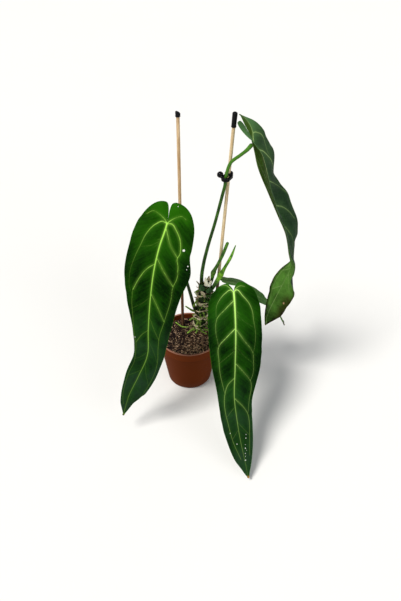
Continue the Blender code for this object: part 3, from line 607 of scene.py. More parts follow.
def blade_frame(leaf, row_step, lobe_rows):
    """Each row across a blade: its place along the midrib, its table, sides, normals and edges."""
    table = np.array([(*s.point, *s.facing, s.left, s.right, s.fold + s.more, s.fold)
                      for s in STATIONS[leaf.name]], float)
    knots = along(table[:, :3])
    junction, shoulder = knots[1], knots[2]
    table[0, 6:8] = table[1, 6:8]
    angles = np.linspace(math.pi / 2, 0, lobe_rows)
    count = round((knots[-1] - junction) / row_step)
    where = np.concatenate([junction * (1 - np.sin(angles)),
                            np.linspace(junction, knots[-1], count + 1)[1:]])
    rows = smooth(table, knots, where)
    tangents = unit(np.gradient(rows[:, :3], where, axis=0))
    sides = unit(np.cross(rows[:, 3:6], tangents))
    normals = np.cross(tangents, sides)
    outer = np.maximum(rows[:, 6:8], 0.0)
    round_off = np.clip((shoulder - where) / shoulder, 0, 1)[:, None]
    wide = np.stack([np.interp(where, knots[:3], table[:3, 6 + half]) for half in (0, 1)], axis=1)
    lobe_edge = leaf.lobe + (wide - leaf.lobe) * np.sqrt(1 - round_off**2)
    outer = np.where(where[:, None] < shoulder, lobe_edge, outer)
    back = np.clip((junction - where) / junction, 0, 1)
    inner = leaf.lobe * (1 - (1 - back**leaf.sinus) ** (1 / leaf.sinus))
    return where - junction, rows, sides, normals, outer, inner


def vein_field(leaf, x, s, length):
    """For points of a blade: the gap to the nearest vein in its half widths, how pale that vein is,
    and the distance to the nearest vein in millimetres."""
    wide, narrow, pale_start, pale_end = leaf.midrib
    share = np.clip(s / length, 0, 1)
    off = np.where(s >= 0, np.abs(x), np.hypot(x, s))
    gap = off / (VEIN_WIDTH * (wide + (narrow - wide) * share**MIDRIB_NARROWS))
    pale = pale_start + (pale_end - pale_start) * share**MIDRIB_DARKENS
    near = off.copy()
    for vein in VEINS[leaf.name]:
        route = np.array(vein.route, float)
        knots = along(route)
        steps = np.linspace(0, knots[-1], max(6, round(knots[-1] / VEIN_STEP)))
        line = smooth(route, knots, steps)
        part = steps / knots[-1]
        widths = VEIN_WIDTH * (vein.wide[0] + (vein.wide[1] - vein.wide[0]) * part)
        widths = np.maximum(widths, VEIN_LEAST)
        tones = vein.pale[0] + (vein.pale[1] - vein.pale[0]) * part**VEIN_DARKENS
        distance = np.hypot(x[:, None] - line[:, 0], s[:, None] - line[:, 1])
        best = distance.argmin(axis=1)
        distance = distance[np.arange(len(x)), best]
        own_gap = distance / widths[best]
        closer = own_gap < gap
        gap = np.where(closer, own_gap, gap)
        pale = np.where(closer, tones[best], pale)
        near = np.minimum(near, distance)
    return gap, pale, near


def blade_shape(leaf, row_step, columns, lobe_rows):
    """The smooth face of a blade as grids of points for its left and right half, with each point's
    distance across and along, its distance from the margin, and the blade's length."""
    where, rows, sides, normals, outer, inner = blade_frame(leaf, row_step, lobe_rows)
    wave_height, wave_length, wave_phase = leaf.wave
    part = np.linspace(0, 1, columns + 1)
    across, places, margins = [], [], []
    for half in (-1, 1):
        width = outer[:, 0 if half < 0 else 1][:, None]
        x = inner[:, None] + (width - inner[:, None]) * part
        share = x / np.maximum(outer.max(axis=1), 1e-6)[:, None]
        fold = rows[:, 8 if half < 0 else 9][:, None]
        angle = np.radians(fold - leaf.droop * share)
        lift = x * np.sin(angle)
        phase = 2 * math.pi * where[:, None] / wave_length + wave_phase + half
        lift += wave_height * share**2 * np.sin(phase)
        points = rows[:, None, :3] + (half * x * np.cos(angle))[:, :, None] * sides[:, None, :]
        points += lift[:, :, None] * normals[:, None, :]
        places.append(points)
        across.append(half * x)
        notch = np.where(where[:, None] < 0, x - inner[:, None], NO_NOTCH)
        margins.append(np.minimum(width - x, notch))
    along_midrib = np.repeat(where[:, None], columns + 1, axis=1)
    return places, across, along_midrib, margins, where[-1]


class Value:
    """A shader socket in a Python expression, where each step adds its Math node."""

    def __init__(self, finish, socket):
        self.finish = finish
        self.socket = socket

    def maths(self, operation, *values, clamp=False):
        """What a Math node makes of the values."""
        settings = {"operation": operation, "use_clamp": clamp}
        return self.finish.node("ShaderNodeMath", settings, dict(enumerate(values))).value(0)

    def __add__(self, other):
        return self.maths("ADD", self, other)

    def __radd__(self, other):
        return self.maths("ADD", other, self)

    def __sub__(self, other):
        return self.maths("SUBTRACT", self, other)

    def __rsub__(self, other):
        return self.maths("SUBTRACT", other, self)

    def __mul__(self, other):
        return self.maths("MULTIPLY", self, other)

    def __rmul__(self, other):
        return self.maths("MULTIPLY", other, self)

    def __abs__(self):
        return self.maths("ABSOLUTE", self)

    def held(self):
        """This value, held between 0 and 1."""
        return self.maths("ADD", self, 0.0, clamp=True)


class Made:
    """A node, whose outputs come back as Values."""

    def __init__(self, finish, node):
        self.finish = finish
        self.node = node

    def value(self, name):
        return Value(self.finish, self.node.outputs[name])


class Finish:
    """One material, whose nodes are all added here."""

    def __init__(self, name):
        self.material = bpy.data.materials.new(name)
        self.material.use_nodes = True
        self.tree = self.material.node_tree
        self.shader = self.tree.nodes["Principled BSDF"]

    def fill(self, socket, value):
        """Links a Value to a socket, or sets the socket to a number, a vector or a colour."""
        if isinstance(value, Value):
            self.tree.links.new(value.socket, socket)
        elif socket.type == "RGBA":
            socket.default_value = (*value[:3], 1.0)
        else:
            socket.default_value = value

    def node(self, kind, settings=None, values=None):
        """A node of that kind with its settings, then the values or links of its sockets."""
        made = self.tree.nodes.new(kind)
        for name, setting in (settings or {}).items():
            setattr(made, name, setting)
        for name, value in (values or {}).items():
            self.fill(made.inputs[name], value)
        return Made(self, made)

    def number(self, name):
        """A number that the mesh holds at its points."""
        return self.node("ShaderNodeAttribute", {"attribute_name": name}).value("Fac")

    def place(self):
        """The point's own place on the plant."""
        return self.node("ShaderNodeTexCoord").value("Object")

    def height(self):
        """The point's height over the floor."""
        split = self.node("ShaderNodeSeparateXYZ", values={"Vector": self.place()})
        return split.value("Z")

    def flat(self, across, along):
        """A place on a blade that is laid flat."""
        return self.node("ShaderNodeCombineXYZ", values={0: across, 1: along}).value(0)

    def scaled(self, vector, factors):
        """A place with each of its axes stretched by its own factor."""
        settings = {"operation": "MULTIPLY"}
        return self.node("ShaderNodeVectorMath", settings, {0: vector, 1: factors}).value(0)

    def noise(self, vector, scale, detail, roughness=0.5):
        """Smooth noise, mostly between 0.3 and 0.7."""
        values = {"Vector": vector, "Scale": scale, "Detail": detail, "Roughness": roughness}
        return self.node("ShaderNodeTexNoise", values=values).value("Fac")

    def cells(self, vector):
        """The distance to the nearest wall between cells of about 1 across."""
        values = {"Vector": vector, "Scale": 1.0}
        made = self.node("ShaderNodeTexVoronoi", {"feature": "DISTANCE_TO_EDGE"}, values)
        return made.value("Distance")

    def fade(self, value, low, high):
        """0 up to low, 1 from high, and smooth between them. low may be the larger."""
        values = {"Value": value, "From Min": low, "From Max": high}
        settings = {"interpolation_type": "SMOOTHSTEP"}
        return self.node("ShaderNodeMapRange", settings, values).value("Result")

    def mix(self, factor, first, second):
        """A colour between two colours."""
        settings = {"data_type": "RGBA"}
        return self.node("ShaderNodeMix", settings, {0: factor, 6: first, 7: second}).value(2)

    def shade(self, colour, amount):
        """A colour times a number."""
        settings = {"data_type": "RGBA", "blend_type": "MULTIPLY"}
        grey = self.node("ShaderNodeCombineColor", values={0: amount, 1: amount, 2: amount})
        values = {0: 1.0, 6: colour, 7: grey.value("Color")}
        return self.node("ShaderNodeMix", settings, values).value(2)

    def bump(self, height, distance, strength):
        """A normal for relief of that height, where 1 stands distance metres out."""
        values = {"Height": height, "Distance": distance, "Strength": strength}
        return self.node("ShaderNodeBump", values=values).value("Normal")

    def done(self, **sockets):
        """Fills the shader's own sockets, named with _ for a space, and gives the material."""
        for name, value in sockets.items():
            self.fill(self.shader.inputs[name.replace("_", " ")], value)
        return self.material


def lighter(tone, factor):
    """A colour times a factor, which below 1 makes it darker."""
    return tuple(min(1.0, part * factor) for part in tone)


def linked(name, data):
    """A new object with that data, in the scene."""
    made = bpy.data.objects.new(name, data)
    bpy.context.scene.collection.objects.link(made)
    return made


class Heap:
    """Many small shapes that become one mesh, with numbers at its points."""

    def __init__(self):
        self.points = []
        self.faces = []
        self.numbers = {}
        self.materials = []
        self.count = 0

    def add(self, points, faces, material=0, **numbers):
        """Adds a shape. material is one number, or one for each face."""
        points = np.asarray(points, float).reshape(-1, 3)
        self.points.append(points)
        self.faces += [tuple(int(corner) + self.count for corner in face) for face in faces]
        self.materials += [material] * len(faces) if isinstance(material, int) else material
        for name, value in numbers.items():
            self.numbers.setdefault(name, []).append(np.broadcast_to(value, len(points)))
        self.count += len(points)

    def piece(self, name, slot, materials, replaces=(), sharp=None):
        """The heap as a smooth mesh object that rides on the plant's one body."""
        mesh = bpy.data.meshes.new(name)
        mesh.from_pydata((np.vstack(self.points) * MM).tolist(), [], self.faces)
        for key, values in self.numbers.items():
            made = mesh.attributes.new(key, "FLOAT", "POINT")
            made.data.foreach_set("value", np.concatenate(values).astype(np.float32))
        for material in materials:
            mesh.materials.append(material)
        mesh.polygons.foreach_set("material_index", self.materials)
        mesh.shade_smooth()
        if sharp is not None:
            mesh.set_sharp_from_angle(angle=math.radians(sharp))
        piece = linked(name, mesh)
        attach(piece, "root")
        if replaces:
            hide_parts(*replaces)
        return piece


def stations_along(route, step):
    """Rows of (x, y, z, radius) at about every step along a smooth curve through route."""
    rows = np.array(route, float)
    knots = along(rows[:, :3])
    count = max(3, round(knots[-1] / step) + 1)
    return smooth(rows, knots, np.linspace(0, knots[-1], count))


def ring_faces(rows, sides, closed=True):
    """Faces of a tube of rows rings, which are listed one after the other."""
    faces = [
        (row * sides + k, row * sides + (k + 1) % sides,
         (row + 1) * sides + (k + 1) % sides, (row + 1) * sides + k)
        for row in range(rows - 1)
        for k in range(sides)
    ]
    if closed:
        last = (rows - 1) * sides
        faces = [tuple(reversed(range(sides))), *faces, tuple(range(last, last + sides))]
    return faces


def loop_faces(rows, sides):
    """Faces of a closed loop of rows rings, which are listed one after the other."""
    faces = []
    for row in range(rows):
        first, other = row * sides, (row + 1) % rows * sides
        for k in range(sides):
            after = (k + 1) % sides
            faces.append((other + k, other + after, first + after, first + k))
    return faces


def tube_shape(rows, sides, profile=None):
    """Points, faces and the share of the way along of a tube over rows, with round ends. profile
    gives the factor on the radius from each point's angle and share."""
    centres, radii = rows[:, :3], rows[:, 3]
    tangents = unit(np.gradient(centres, axis=0))
    length = along(centres)
    ends = np.radians((80, 60, 40, 20))
    rings = [(centres[0] - tangents[0] * radii[0] * math.sin(a), tangents[0],
              radii[0] * math.cos(a), 0.0) for a in ends]
    rings += list(zip(centres, tangents, radii, length / length[-1]))
    rings += [(centres[-1] + tangents[-1] * radii[-1] * math.sin(a), tangents[-1],
               radii[-1] * math.cos(a), 1.0) for a in ends[::-1]]
    side = unit(np.cross(tangents[0], (0.3, 0.9, 0.1)))
    angles = round_angles(sides)
    points, shares = [], []
    for centre, tangent, radius, share in rings:
        side = unit(side - tangent * np.dot(side, tangent))
        other = np.cross(tangent, side)
        reach = np.full(sides, radius)
        if profile:
            reach = reach * profile(angles, share)
        points.append(centre + reach[:, None] * (np.cos(angles)[:, None] * side
                                                 + np.sin(angles)[:, None] * other))
        shares += [share] * sides
    return np.vstack(points), ring_faces(len(rings), sides), np.array(shares)


def turned_shape(outline, sides):
    """Points and faces of a solid turned about Z, whose outline starts and ends on the axis."""
    angles = round_angles(sides)
    points = [(0, 0, outline[0][1])]
    for radius, height in outline[1:-1]:
        points += [(radius * math.cos(a), radius * math.sin(a), height) for a in angles]
    points.append((0, 0, outline[-1][1]))
    rows = len(outline) - 2
    top = len(points) - 1
    faces = [(0, 1 + (k + 1) % sides, 1 + k) for k in range(sides)]
    faces += [tuple(1 + corner for corner in face) for face in ring_faces(rows, sides, False)]
    last = 1 + (rows - 1) * sides
    faces += [(last + k, last + (k + 1) % sides, top) for k in range(sides)]
    return np.array(points), faces


def rounded(outline, steps):
    """An outline of (radius, height, rounding) with an arc of that size at each rounded corner."""
    made = []
    for number, (radius, height, size) in enumerate(outline):
        corner = Vector((radius, height))
        if not size:
            made.append((radius, height))
            continue
        before = (Vector(outline[number - 1][:2]) - corner).normalized() * size + corner
        after = (Vector(outline[number + 1][:2]) - corner).normalized() * size + corner
        for k in range(steps + 1):
            t = k / steps
            point = before * (1 - t) ** 2 + corner * 2 * t * (1 - t) + after * t**2
            made.append((point.x, point.y))
    return made


def blade_mesh(leaf, sizes):
    """A blade's points, faces, each face's material and the numbers at its points."""
    places, across, s, margins, length = blade_shape(
        leaf, sizes.row_step / MM, sizes.columns, sizes.lobe_rows)
    rows, columns = s.shape
    index = np.arange(2 * rows * columns).reshape(2, rows, columns)
    joined = s[:, 0] >= 0
    index[1, joined, 0] = index[0, joined, 0]
    index[:, 0, :] = index[:, 0, :1]
    index[:, -1, :] = index[0, -1, 0]
    faces = []
    for half in (0, 1):
        grid = index[half]
        corners = np.stack([grid[:-1, :-1], grid[:-1, 1:], grid[1:, 1:], grid[1:, :-1]], axis=-1)
        order = [0, 1, 2, 3] if half == 0 else [3, 2, 1, 0]
        middle = corners[1:-1].reshape(-1, 4)[:, order]
        first = corners[0][:, [0, 2, 3]] if half == 0 else corners[0][:, [3, 2, 0]]
        last = corners[-1][:, [0, 1, 2]] if half == 0 else corners[-1][:, [2, 1, 0]]
        faces += middle.tolist() + first.tolist() + last.tolist()
    used, index_of = np.unique(index, return_inverse=True)
    back = np.zeros(index.size, int)
    back[index.ravel()] = index_of.ravel()
    faces = [tuple(back[list(face)]) for face in faces]
    points = np.concatenate([place.reshape(-1, 3) for place in places])[used]
    x = np.concatenate([half.ravel() for half in across])[used]
    s = np.concatenate([s.ravel(), s.ravel()])[used]
    margin = np.concatenate([half.ravel() for half in margins])[used]
    midline = (np.abs(x) < 0.01) & (s < length - TIP_LENGTH)
    margin = np.where(midline, MIDLINE_INSIDE, margin)

    normals = point_normals(points, faces)
    gap, pale, near = vein_field(leaf, x, s, length)
    inward = 1 - bell(margin, QUILT_MARGIN)
    puff = sizes.puff / MM * (1 - bell(near, QUILT_REACH)) * inward
    rib = sizes.rib / MM * bell(gap, 1) * (0.4 + 0.6 * pale)
    ripple = np.sin(s / FRILL_LENGTH + 1.7 * np.sin(s / FRILL_CHANGE) + np.sign(x))
    frill = FRILL_HEIGHT * bell(margin, FRILL_REACH) * ripple
    frill *= np.clip(s / FRILL_FADE + 1, 0, 1)
    points = points + normals * (puff + rib + frill)[:, None]
    normals = point_normals(points, faces)
    keel = KEEL_HEIGHT * bell(x, KEEL_REACH) * (1 - KEEL_TAPER * np.clip(s / length, 0, 1))
    keel *= np.clip(1 + s / KEEL_FADE, 0, 1)
    under_rib = UNDER_RIB * bell(gap, 1)
    thick = THIN_EDGE + (1 - THIN_EDGE) * (1 - bell(margin, THIN_REACH))
    thick = sizes.thickness / MM * thick
    lower = points - normals * (thick + keel + under_rib)[:, None]
    count = len(points)
    edges = {}
    for face in faces:
        for a, b in zip(face, face[1:] + face[:1]):
            edges[(a, b)] = True
    rim = [(b, a, a + count, b + count) for a, b in edges if (b, a) not in edges]
    under = [tuple(count + k for k in reversed(face)) for face in faces]
    numbers = {"vein_gap": gap, "vein_pale": pale, "vein_near": near, "margin": margin,
               "across": x * MM, "down": s * MM, "tip": (length - s) * MM}
    numbers = {name: np.tile(values, 2) for name, values in numbers.items()}
    kinds = [0] * len(faces) + [1] * len(under) + [0] * len(rim)
    return np.vstack([points, lower]), faces + under + rim, kinds, numbers


def point_normals(points, faces):
    """The way each point's faces look, as a mean that the larger faces weigh more in."""
    quads = np.array([face if len(face) == 4 else (*face, face[2]) for face in faces])
    corners = points[quads]
    across = np.cross(corners[:, 2] - corners[:, 0], corners[:, 3] - corners[:, 1])
    normals = np.zeros_like(points)
    for k in range(4):
        np.add.at(normals, quads[:, k], across)
    return unit(normals + 1e-12)


def blade_finish(name, deep, blade, vein, curl_shade=None):
    """The face of a blade: deep velvet green between pale veins, with fine side veins, a faint net
    and a dry tip. Light is painted in too: a lighter upper part and a glow round the veins for light
    shining through, a bluish sheen low down and on each lobe, and a highlight along the margin. The
    last argument is the colour of painted shade on the strip where a lobe curls under, if one does."""
    f = Finish(name)
    gap, pale, near = f.number("vein_gap"), f.number("vein_pale"), f.number("vein_near")
    across, down = f.number("across"), f.number("down")
    flat = f.flat(across, down)
    off = abs(across)
    streak = f.noise(f.flat(0.12 * off, down - 0.75 * off), 260.0, 3.0, 0.6)
    cloud = f.fade(f.noise(flat, 22.0, 3.0), 0.36, 0.66)
    speckle = f.noise(flat, 700.0, 2.0)
    net = 1 - f.fade(f.cells(f.scaled(flat, (170.0, 120.0, 1.0))), 0.0, 0.07)
    # Painted light: the upper part is lighter, as light shining through the blade
    upper = 1 - f.fade(down + 0.02 * cloud, 0.03, 0.11)
    middle = 1 - f.fade(off, 0.004, 0.03)
    between = f.fade(near, 2.0, 13.0)
    green = 0.4 * cloud + 0.9 * (streak - 0.42) + 0.42 * upper + 0.2 * middle - 0.25 * between
    base = f.mix(green.held(), deep, blade)
    # Painted sheen: the lower part turns bluish grey, standing in for the sky's reflection
    lower = f.fade(down, 0.12, 0.25) * (0.3 + 0.7 * cloud)
    base = f.mix(lower.held(), base, LOWER_SHEEN)
    # Painted sheen: the lobes are lighter, more so on the tall blade
    paling = 0.6 if curl_shade else 0.4
    lobe_sheen = (1 - f.fade(down, -0.03, 0.008)) * paling * (0.5 + 0.8 * cloud)
    base = f.mix(lobe_sheen.held(), base, lighter(blade, 1.9))
    if curl_shade:
        # Painted shade on a strip of the far lobe, from the notch to a slanting line, where it curls
        # under
        curl_shade_mask = 1 - f.fade(across + 0.42 * down, 0.003, 0.0055)
        curl_shade_mask = curl_shade_mask * f.fade(across, 0.0, 0.001) * (1 - f.fade(down, -0.014, -0.002))
        base = f.mix((curl_shade_mask * 0.9).held(), base, curl_shade)
    base = f.shade(base, 0.78 + 0.44 * speckle)
    base = f.mix((net * 0.08).held(), base, lighter(blade, 2.0))
    # Painted light: a glow round the palest veins, as light shining through along them
    glow = (1 - f.fade(near, 0.0, 5.0)) * pale * pale * pale * 0.55
    base = f.mix(glow.held(), base, lighter(vein, 0.42))
    on_vein = 1 - f.fade(gap, 0.55, 1.25)
    pale_vein = f.mix(f.fade(pale, 0.2, 1.0), lighter(vein, 0.3), vein)
    base = f.mix((on_vein * (0.12 + 0.88 * pale)).held(), base, pale_vein)
    # Painted highlight: a lighter rim along the margin
    edge = (1 - f.fade(f.number("margin"), 0.1, 0.8)) * 0.5
    base = f.mix(edge.held(), base, lighter(blade, 2.6))
    tip = 1 - f.fade(f.number("tip"), 0.0015, 0.006)
    base = f.mix(tip.held(), base, DRY_TIP)
    height = 0.45 * net + 0.5 * streak + 0.3 * speckle
    return f.done(
        Base_Color=base,
        Roughness=(0.5 + 0.16 * speckle - 0.06 * on_vein).held(),
        Normal=f.bump(height, 0.0004, 0.7),
        Specular_IOR_Level=0.02,
    )


def stalk_finish(name, dark, light, base_tone):
    """A smooth stalk with fine lengthwise streaks, pale flecks and an older, browner foot."""
    f = Finish(name)
    share = f.number("share")
    streak = f.noise(f.scaled(f.place(), (1.0, 1.0, 0.12)), 900.0, 3.0)
    cloud = f.noise(f.place(), 60.0, 3.0)
    fleck = f.fade(f.noise(f.place(), 1400.0, 1.0), 0.66, 0.72)
    base = f.mix(f.fade(cloud * 0.6 + streak * 0.4, 0.38, 0.66), dark, light)
    base = f.mix((fleck * 0.35).held(), base, lighter(light, 2.0))
    foot = (1 - f.fade(share + 0.06 * cloud, 0.03, 0.12)) * 0.65
    base = f.mix(foot.held(), base, base_tone)
    # Painted light: the top of the stalk is lighter, where light falls on it
    young = f.fade(share, 0.7, 0.84) * 0.6
    base = f.mix(young.held(), base, lighter(light, 1.6))
    neck = f.fade(share, 0.955, 0.985) * 0.45
    base = f.mix(neck.held(), base, lighter(light, 2.2))
    return f.done(
        Base_Color=base,
        Roughness=(0.36 + 0.2 * streak).held(),
        Normal=f.bump(streak + 0.4 * fleck, 0.0002, 0.5),
        Specular_IOR_Level=0.14,
    )


def trunk_finish(green, bark):
    """Green trunk skin that turns to tan bark under each ring, with painted shade in the notch over
    it.
    """
    f = Finish("trunk_skin")
    ring = f.number("ring")
    grain = f.noise(f.scaled(f.place(), (1.0, 1.0, 3.0)), 340.0, 4.0, 0.6)
    patch = f.noise(f.place(), 110.0, 3.0)
    base = f.mix(f.fade(patch, 0.35, 0.62), lighter(green, 0.4), green)
    rim = f.fade(ring + 0.4 * grain, 1.06, 1.2)
    base = f.mix(rim.held(), base, bark)
    # Painted shade: the notch over each ring is darkened
    notch = (1 - f.fade(ring, 0.05, 0.45)) * 0.85
    base = f.mix(notch.held(), base, NOTCH_SHADE)
    dry = f.fade(f.noise(f.place(), 240.0, 5.0, 0.7), 0.62, 0.7) * 0.3
    base = f.mix(dry.held(), base, lighter(bark, 0.55))
    return f.done(
        Base_Color=base,
        Roughness=(0.55 + 0.35 * rim).held(),
        Normal=f.bump(grain + 0.6 * patch, 0.0007, 0.8),
        Specular_IOR_Level=0.12,
    )


def papery_finish(name, pale, dark):
    """Dry papery remains, with lengthwise fibres and brown patches."""
    f = Finish(name)
    fibre = f.noise(f.scaled(f.place(), (1.0, 1.0, 0.25)), 500.0, 4.0, 0.65)
    patch = f.noise(f.place(), 90.0, 3.0)
    base = f.mix(f.fade(patch * 0.5 + fibre * 0.5, 0.36, 0.56), dark, pale)
    base = f.shade(base, 0.7 + 0.6 * f.number("tone"))
    return f.done(
        Base_Color=base,
        Roughness=(0.65 + 0.25 * fibre).held(),
        Normal=f.bump(fibre, 0.0004, 0.8),
    )


def root_finish(green, tan):
    """A root with a dull tan sleeve and a live green end."""
    f = Finish("root_skin")
    share = f.number("share")
    grain = f.noise(f.place(), 420.0, 4.0, 0.6)
    live = f.fade(share + 1.8 * (grain - 0.5), 0.3, 0.62)
    base = f.mix(live.held(), tan, green)
    pale_tip = f.fade(share, 0.9, 1.0) * 0.7
    base = f.mix(pale_tip.held(), base, lighter(green, 1.9))
    base = f.shade(base, 0.1 + 1.2 * grain + 0.4 * f.number("tone"))
    return f.done(
        Base_Color=base,
        Roughness=(0.5 + 0.3 * grain).held(),
        Normal=f.bump(grain, 0.0003, 0.7),
        Specular_IOR_Level=0.15,
    )


def chip_finish(dark, brown, tan):
    """Soil chips: each has its own tone from near black to light tan, with its own wood fibre."""
    f = Finish("soil_chips")
    tone = f.number("tone")
    fibre = f.noise(f.scaled(f.place(), (1.0, 0.35, 1.0)), 900.0, 4.0, 0.6)
    patch = f.noise(f.place(), 300.0, 3.0)
    level = tone + 0.25 * (patch - 0.5)
    base = f.mix(f.fade(level, 0.08, 0.5), dark, brown)
    base = f.mix(f.fade(level, 0.55, 0.95), base, tan)
    base = f.shade(base, 0.6 + 0.75 * fibre)
    return f.done(
        Base_Color=base,
        Roughness=(0.72 + 0.25 * fibre).held(),
        Normal=f.bump(fibre + 0.5 * patch, 0.0004, 0.8),
        Specular_IOR_Level=0.1,
    )


def pot_finish(plastic, worn):
    """Moulded brown plastic: a faint orange peel, cloudy fading, scuffs, a lighter collar with a
    painted shadow under its step, and a pale lip that is partly worn and partly a painted highlight.
    """
    f = Finish("pot_plastic")
    height = f.height()
    cloud = f.noise(f.place(), 16.0, 3.0)
    peel = f.noise(f.place(), 900.0, 2.0)
    scuff = f.fade(f.noise(f.scaled(f.place(), (1.0, 1.0, 7.0)), 70.0, 6.0, 0.75), 0.6, 0.7)
    base = f.shade(plastic, 0.84 + 0.32 * cloud)
    base = f.mix((scuff * 0.06).held(), base, worn)
    over = height - COLLAR_BOTTOM * MM
    base = f.shade(base, 1 + 0.2 * f.fade(over, 0.0, 0.002))
    # Painted shadow: a dark line under the collar's step
    step = (1 - f.fade(over * over, 0.0, 0.0000025)) * 0.85
    base = f.mix(step.held(), base, lighter(plastic, 0.25))
    dust = (1 - f.fade(height, 0.0, 0.022)) * f.noise(f.place(), 140.0, 5.0, 0.7) * 0.35
    base = f.mix(dust.held(), base, POT_DUST)
    top = POT_BOX[1].z
    # The pale lip is partly wear and partly a painted highlight
    lip = f.fade(height + 0.0006 * (cloud - 0.5), top - 0.0016, top - 0.0006) * 0.8
    base = f.mix(lip.held(), base, worn)
    return f.done(
        Base_Color=base,
        Roughness=(0.55 + 0.14 * cloud + 0.15 * scuff).held(),
        Normal=f.bump(peel + 0.3 * scuff, 0.00012, 0.5),
        Specular_IOR_Level=0.02,
    )


def wood_finish(name, pale, dark, damp_and_shade_top):
    """Split wood with long grain, and a dark brown foot, partly a water stain and partly painted
    shade, that ends at the height given last.
    """
    f = Finish(name)
    grain = f.noise(f.scaled(f.place(), (1.0, 1.0, 0.035)), 1500.0, 4.0, 0.6)
    broad = f.noise(f.scaled(f.place(), (1.0, 1.0, 0.06)), 380.0, 3.0)
    fibre = f.fade(f.noise(f.scaled(f.place(), (1.0, 1.0, 0.02)), 2600.0, 2.0), 0.58, 0.66)
    base = f.mix(f.fade(0.5 * grain + 0.5 * broad, 0.36, 0.66), dark, pale)
    base = f.mix((fibre * 0.4).held(), base, lighter(dark, 0.45))
    # The dark foot is partly a damp stain and partly painted shade
    damp_and_shade = 1 - f.fade(f.height() + 0.02 * (broad - 0.5), damp_and_shade_top - 0.03, damp_and_shade_top)
    base = f.mix((damp_and_shade * 0.88).held(), base, DAMP_WOOD_AND_SHADE)
    return f.done(
        Base_Color=base,
        Roughness=(0.6 + 0.2 * grain).held(),
        Normal=f.bump(grain + 0.6 * fibre, 0.0003, 0.7),
        Specular_IOR_Level=0.1,
    )


def rubber_finish(name, black, rough, bump_size):
    """Black rubber or plastic with a fine skin and dusty, slightly greyer patches."""
    f = Finish(name)
    dust = f.fade(f.noise(f.place(), 260.0, 4.0, 0.65), 0.52, 0.72)
    skin = f.noise(f.place(), 1800.0, 2.0)
    base = f.mix((dust * 0.25).held(), black, lighter(black, 4.0))
    return f.done(
        Base_Color=base,
        Roughness=(rough + 0.2 * dust + 0.08 * skin).held(),
        Normal=f.bump(skin, bump_size, 0.6),
        Specular_IOR_Level=0.1,
    )


def floor_finish(tone):
    """The floor's pale, very slightly cloudy paint."""
    f = Finish("floor")
    cloud = f.noise(f.place(), 2.0, 3.0)
    return f.done(Base_Color=f.shade(tone, 0.985 + 0.03 * cloud), Roughness=0.85)


def trunk_at(height):
    """The trunk's middle and radius at each height, as rows of (x, y, radius)."""
    table = np.array(TRUNK, float)
    return smooth(table[:, [0, 1, 3]], table[:, 2], np.atleast_1d(np.asarray(height, float)))


def rim_height(ring, angle):
    """How high a ring's rim is at that angle round the trunk."""
    return RING_BOTTOM + RING_SPACING * ring - RING_TILT * np.cos(angle + RING_TURN * ring)


def jag(angle, height, scale=3.0, step=9.0):
    """Noise round the trunk: a larger scale gives more jags round it, a smaller step more up it."""
    return noise.noise(Vector((scale * math.cos(angle), scale * math.sin(angle), height / step)))


def trunk_skin(heap, sizes):
    """The trunk's core: each length swells to its ring and drops back over it."""
    heights = np.arange(TRUNK[0][2], TRUNK[-1][2], sizes.row_step / MM)
    middles = trunk_at(heights)
    angles = round_angles(TRUNK_SIDES)
    rims = np.array([rim_height(ring, angles) for ring in range(-1, RINGS + 3)])
    points, ring_share = [], []
    for (x, y, radius), height in zip(middles, heights):
        for k, angle in enumerate(angles):
            below = int((rims[:, k] <= height).sum()) - 1
            if below < 0:
                share, out = 0.5, 0.0
            else:
                low, high = rims[below, k], rims[below + 1, k]
                share = (height - low) / (high - low)
                out = RING_DEPTH * (share**2 - 0.4 + RING_WEAR * jag(angle, height))
            out += SKIN_GRAIN * jag(angle, height, 9.0, 2.2)
            reach = radius + out
            points.append((x + reach * math.cos(angle), y + reach * math.sin(angle), height))
            ring_share.append(share)
    heap.add(points, ring_faces(len(heights), TRUNK_SIDES), ring=ring_share)


def skirt(heap, ring, rng, sizes):
    """The dry torn skirt that an old leaf left on one ring."""
    points = []
    turn = rng.uniform(0, 9)
    for angle in round_angles(SKIRT_SIDES):
        height = rim_height(ring, angle)
        x, y, radius = trunk_at(height)[0]
        reach = radius + RING_DEPTH * 0.6 + RING_WEAR * RING_DEPTH * jag(angle, height)
        torn = 0.5 + 0.8 * jag(angle, 40 * ring + turn, 2.2) + 0.5 * jag(angle, 7 * ring, 8.0)
        torn = min(max(torn, 0.04), 1.0)
        drop = sizes.skirt / MM * torn
        flare = 0.4 + 1.7 * torn
        over = [(reach - 1.6, -1.2), (reach - 0.3, 0.5), (reach + 0.45 * flare, 0.7 - 0.25 * drop),
                (reach + flare, -drop)]
        under = [(r - SKIRT_THICKNESS, h - SKIRT_THICKNESS * 0.6) for r, h in reversed(over)]
        outline = over + under
        points += [(x + r * math.cos(angle), y + r * math.sin(angle), height + h)
                   for r, h in outline]
    heap.add(points, loop_faces(SKIRT_SIDES, len(outline)), tone=rng.uniform(0.25, 0.9))


def strand(heap, start, heading, length, radius, rng, sag, tone):
    """A thin dry strand that leaves start along heading, wanders and sags."""
    point = Vector(start)
    way = Vector(heading).normalized()
    rows = [(*point, radius)]
    for step in range(1, STRAND_STEPS + 1):
        way += Vector([rng.uniform(-wander, wander) for wander in STRAND_WANDER])
        way.z -= sag / STRAND_STEPS
        way.normalize()
        point = point + way * length / STRAND_STEPS
        rows.append((*point, radius * (1 - 0.75 * step / STRAND_STEPS)))
    points, faces, _ = tube_shape(np.array(rows), STRAND_SIDES)
    heap.add(points, faces, tone=tone)


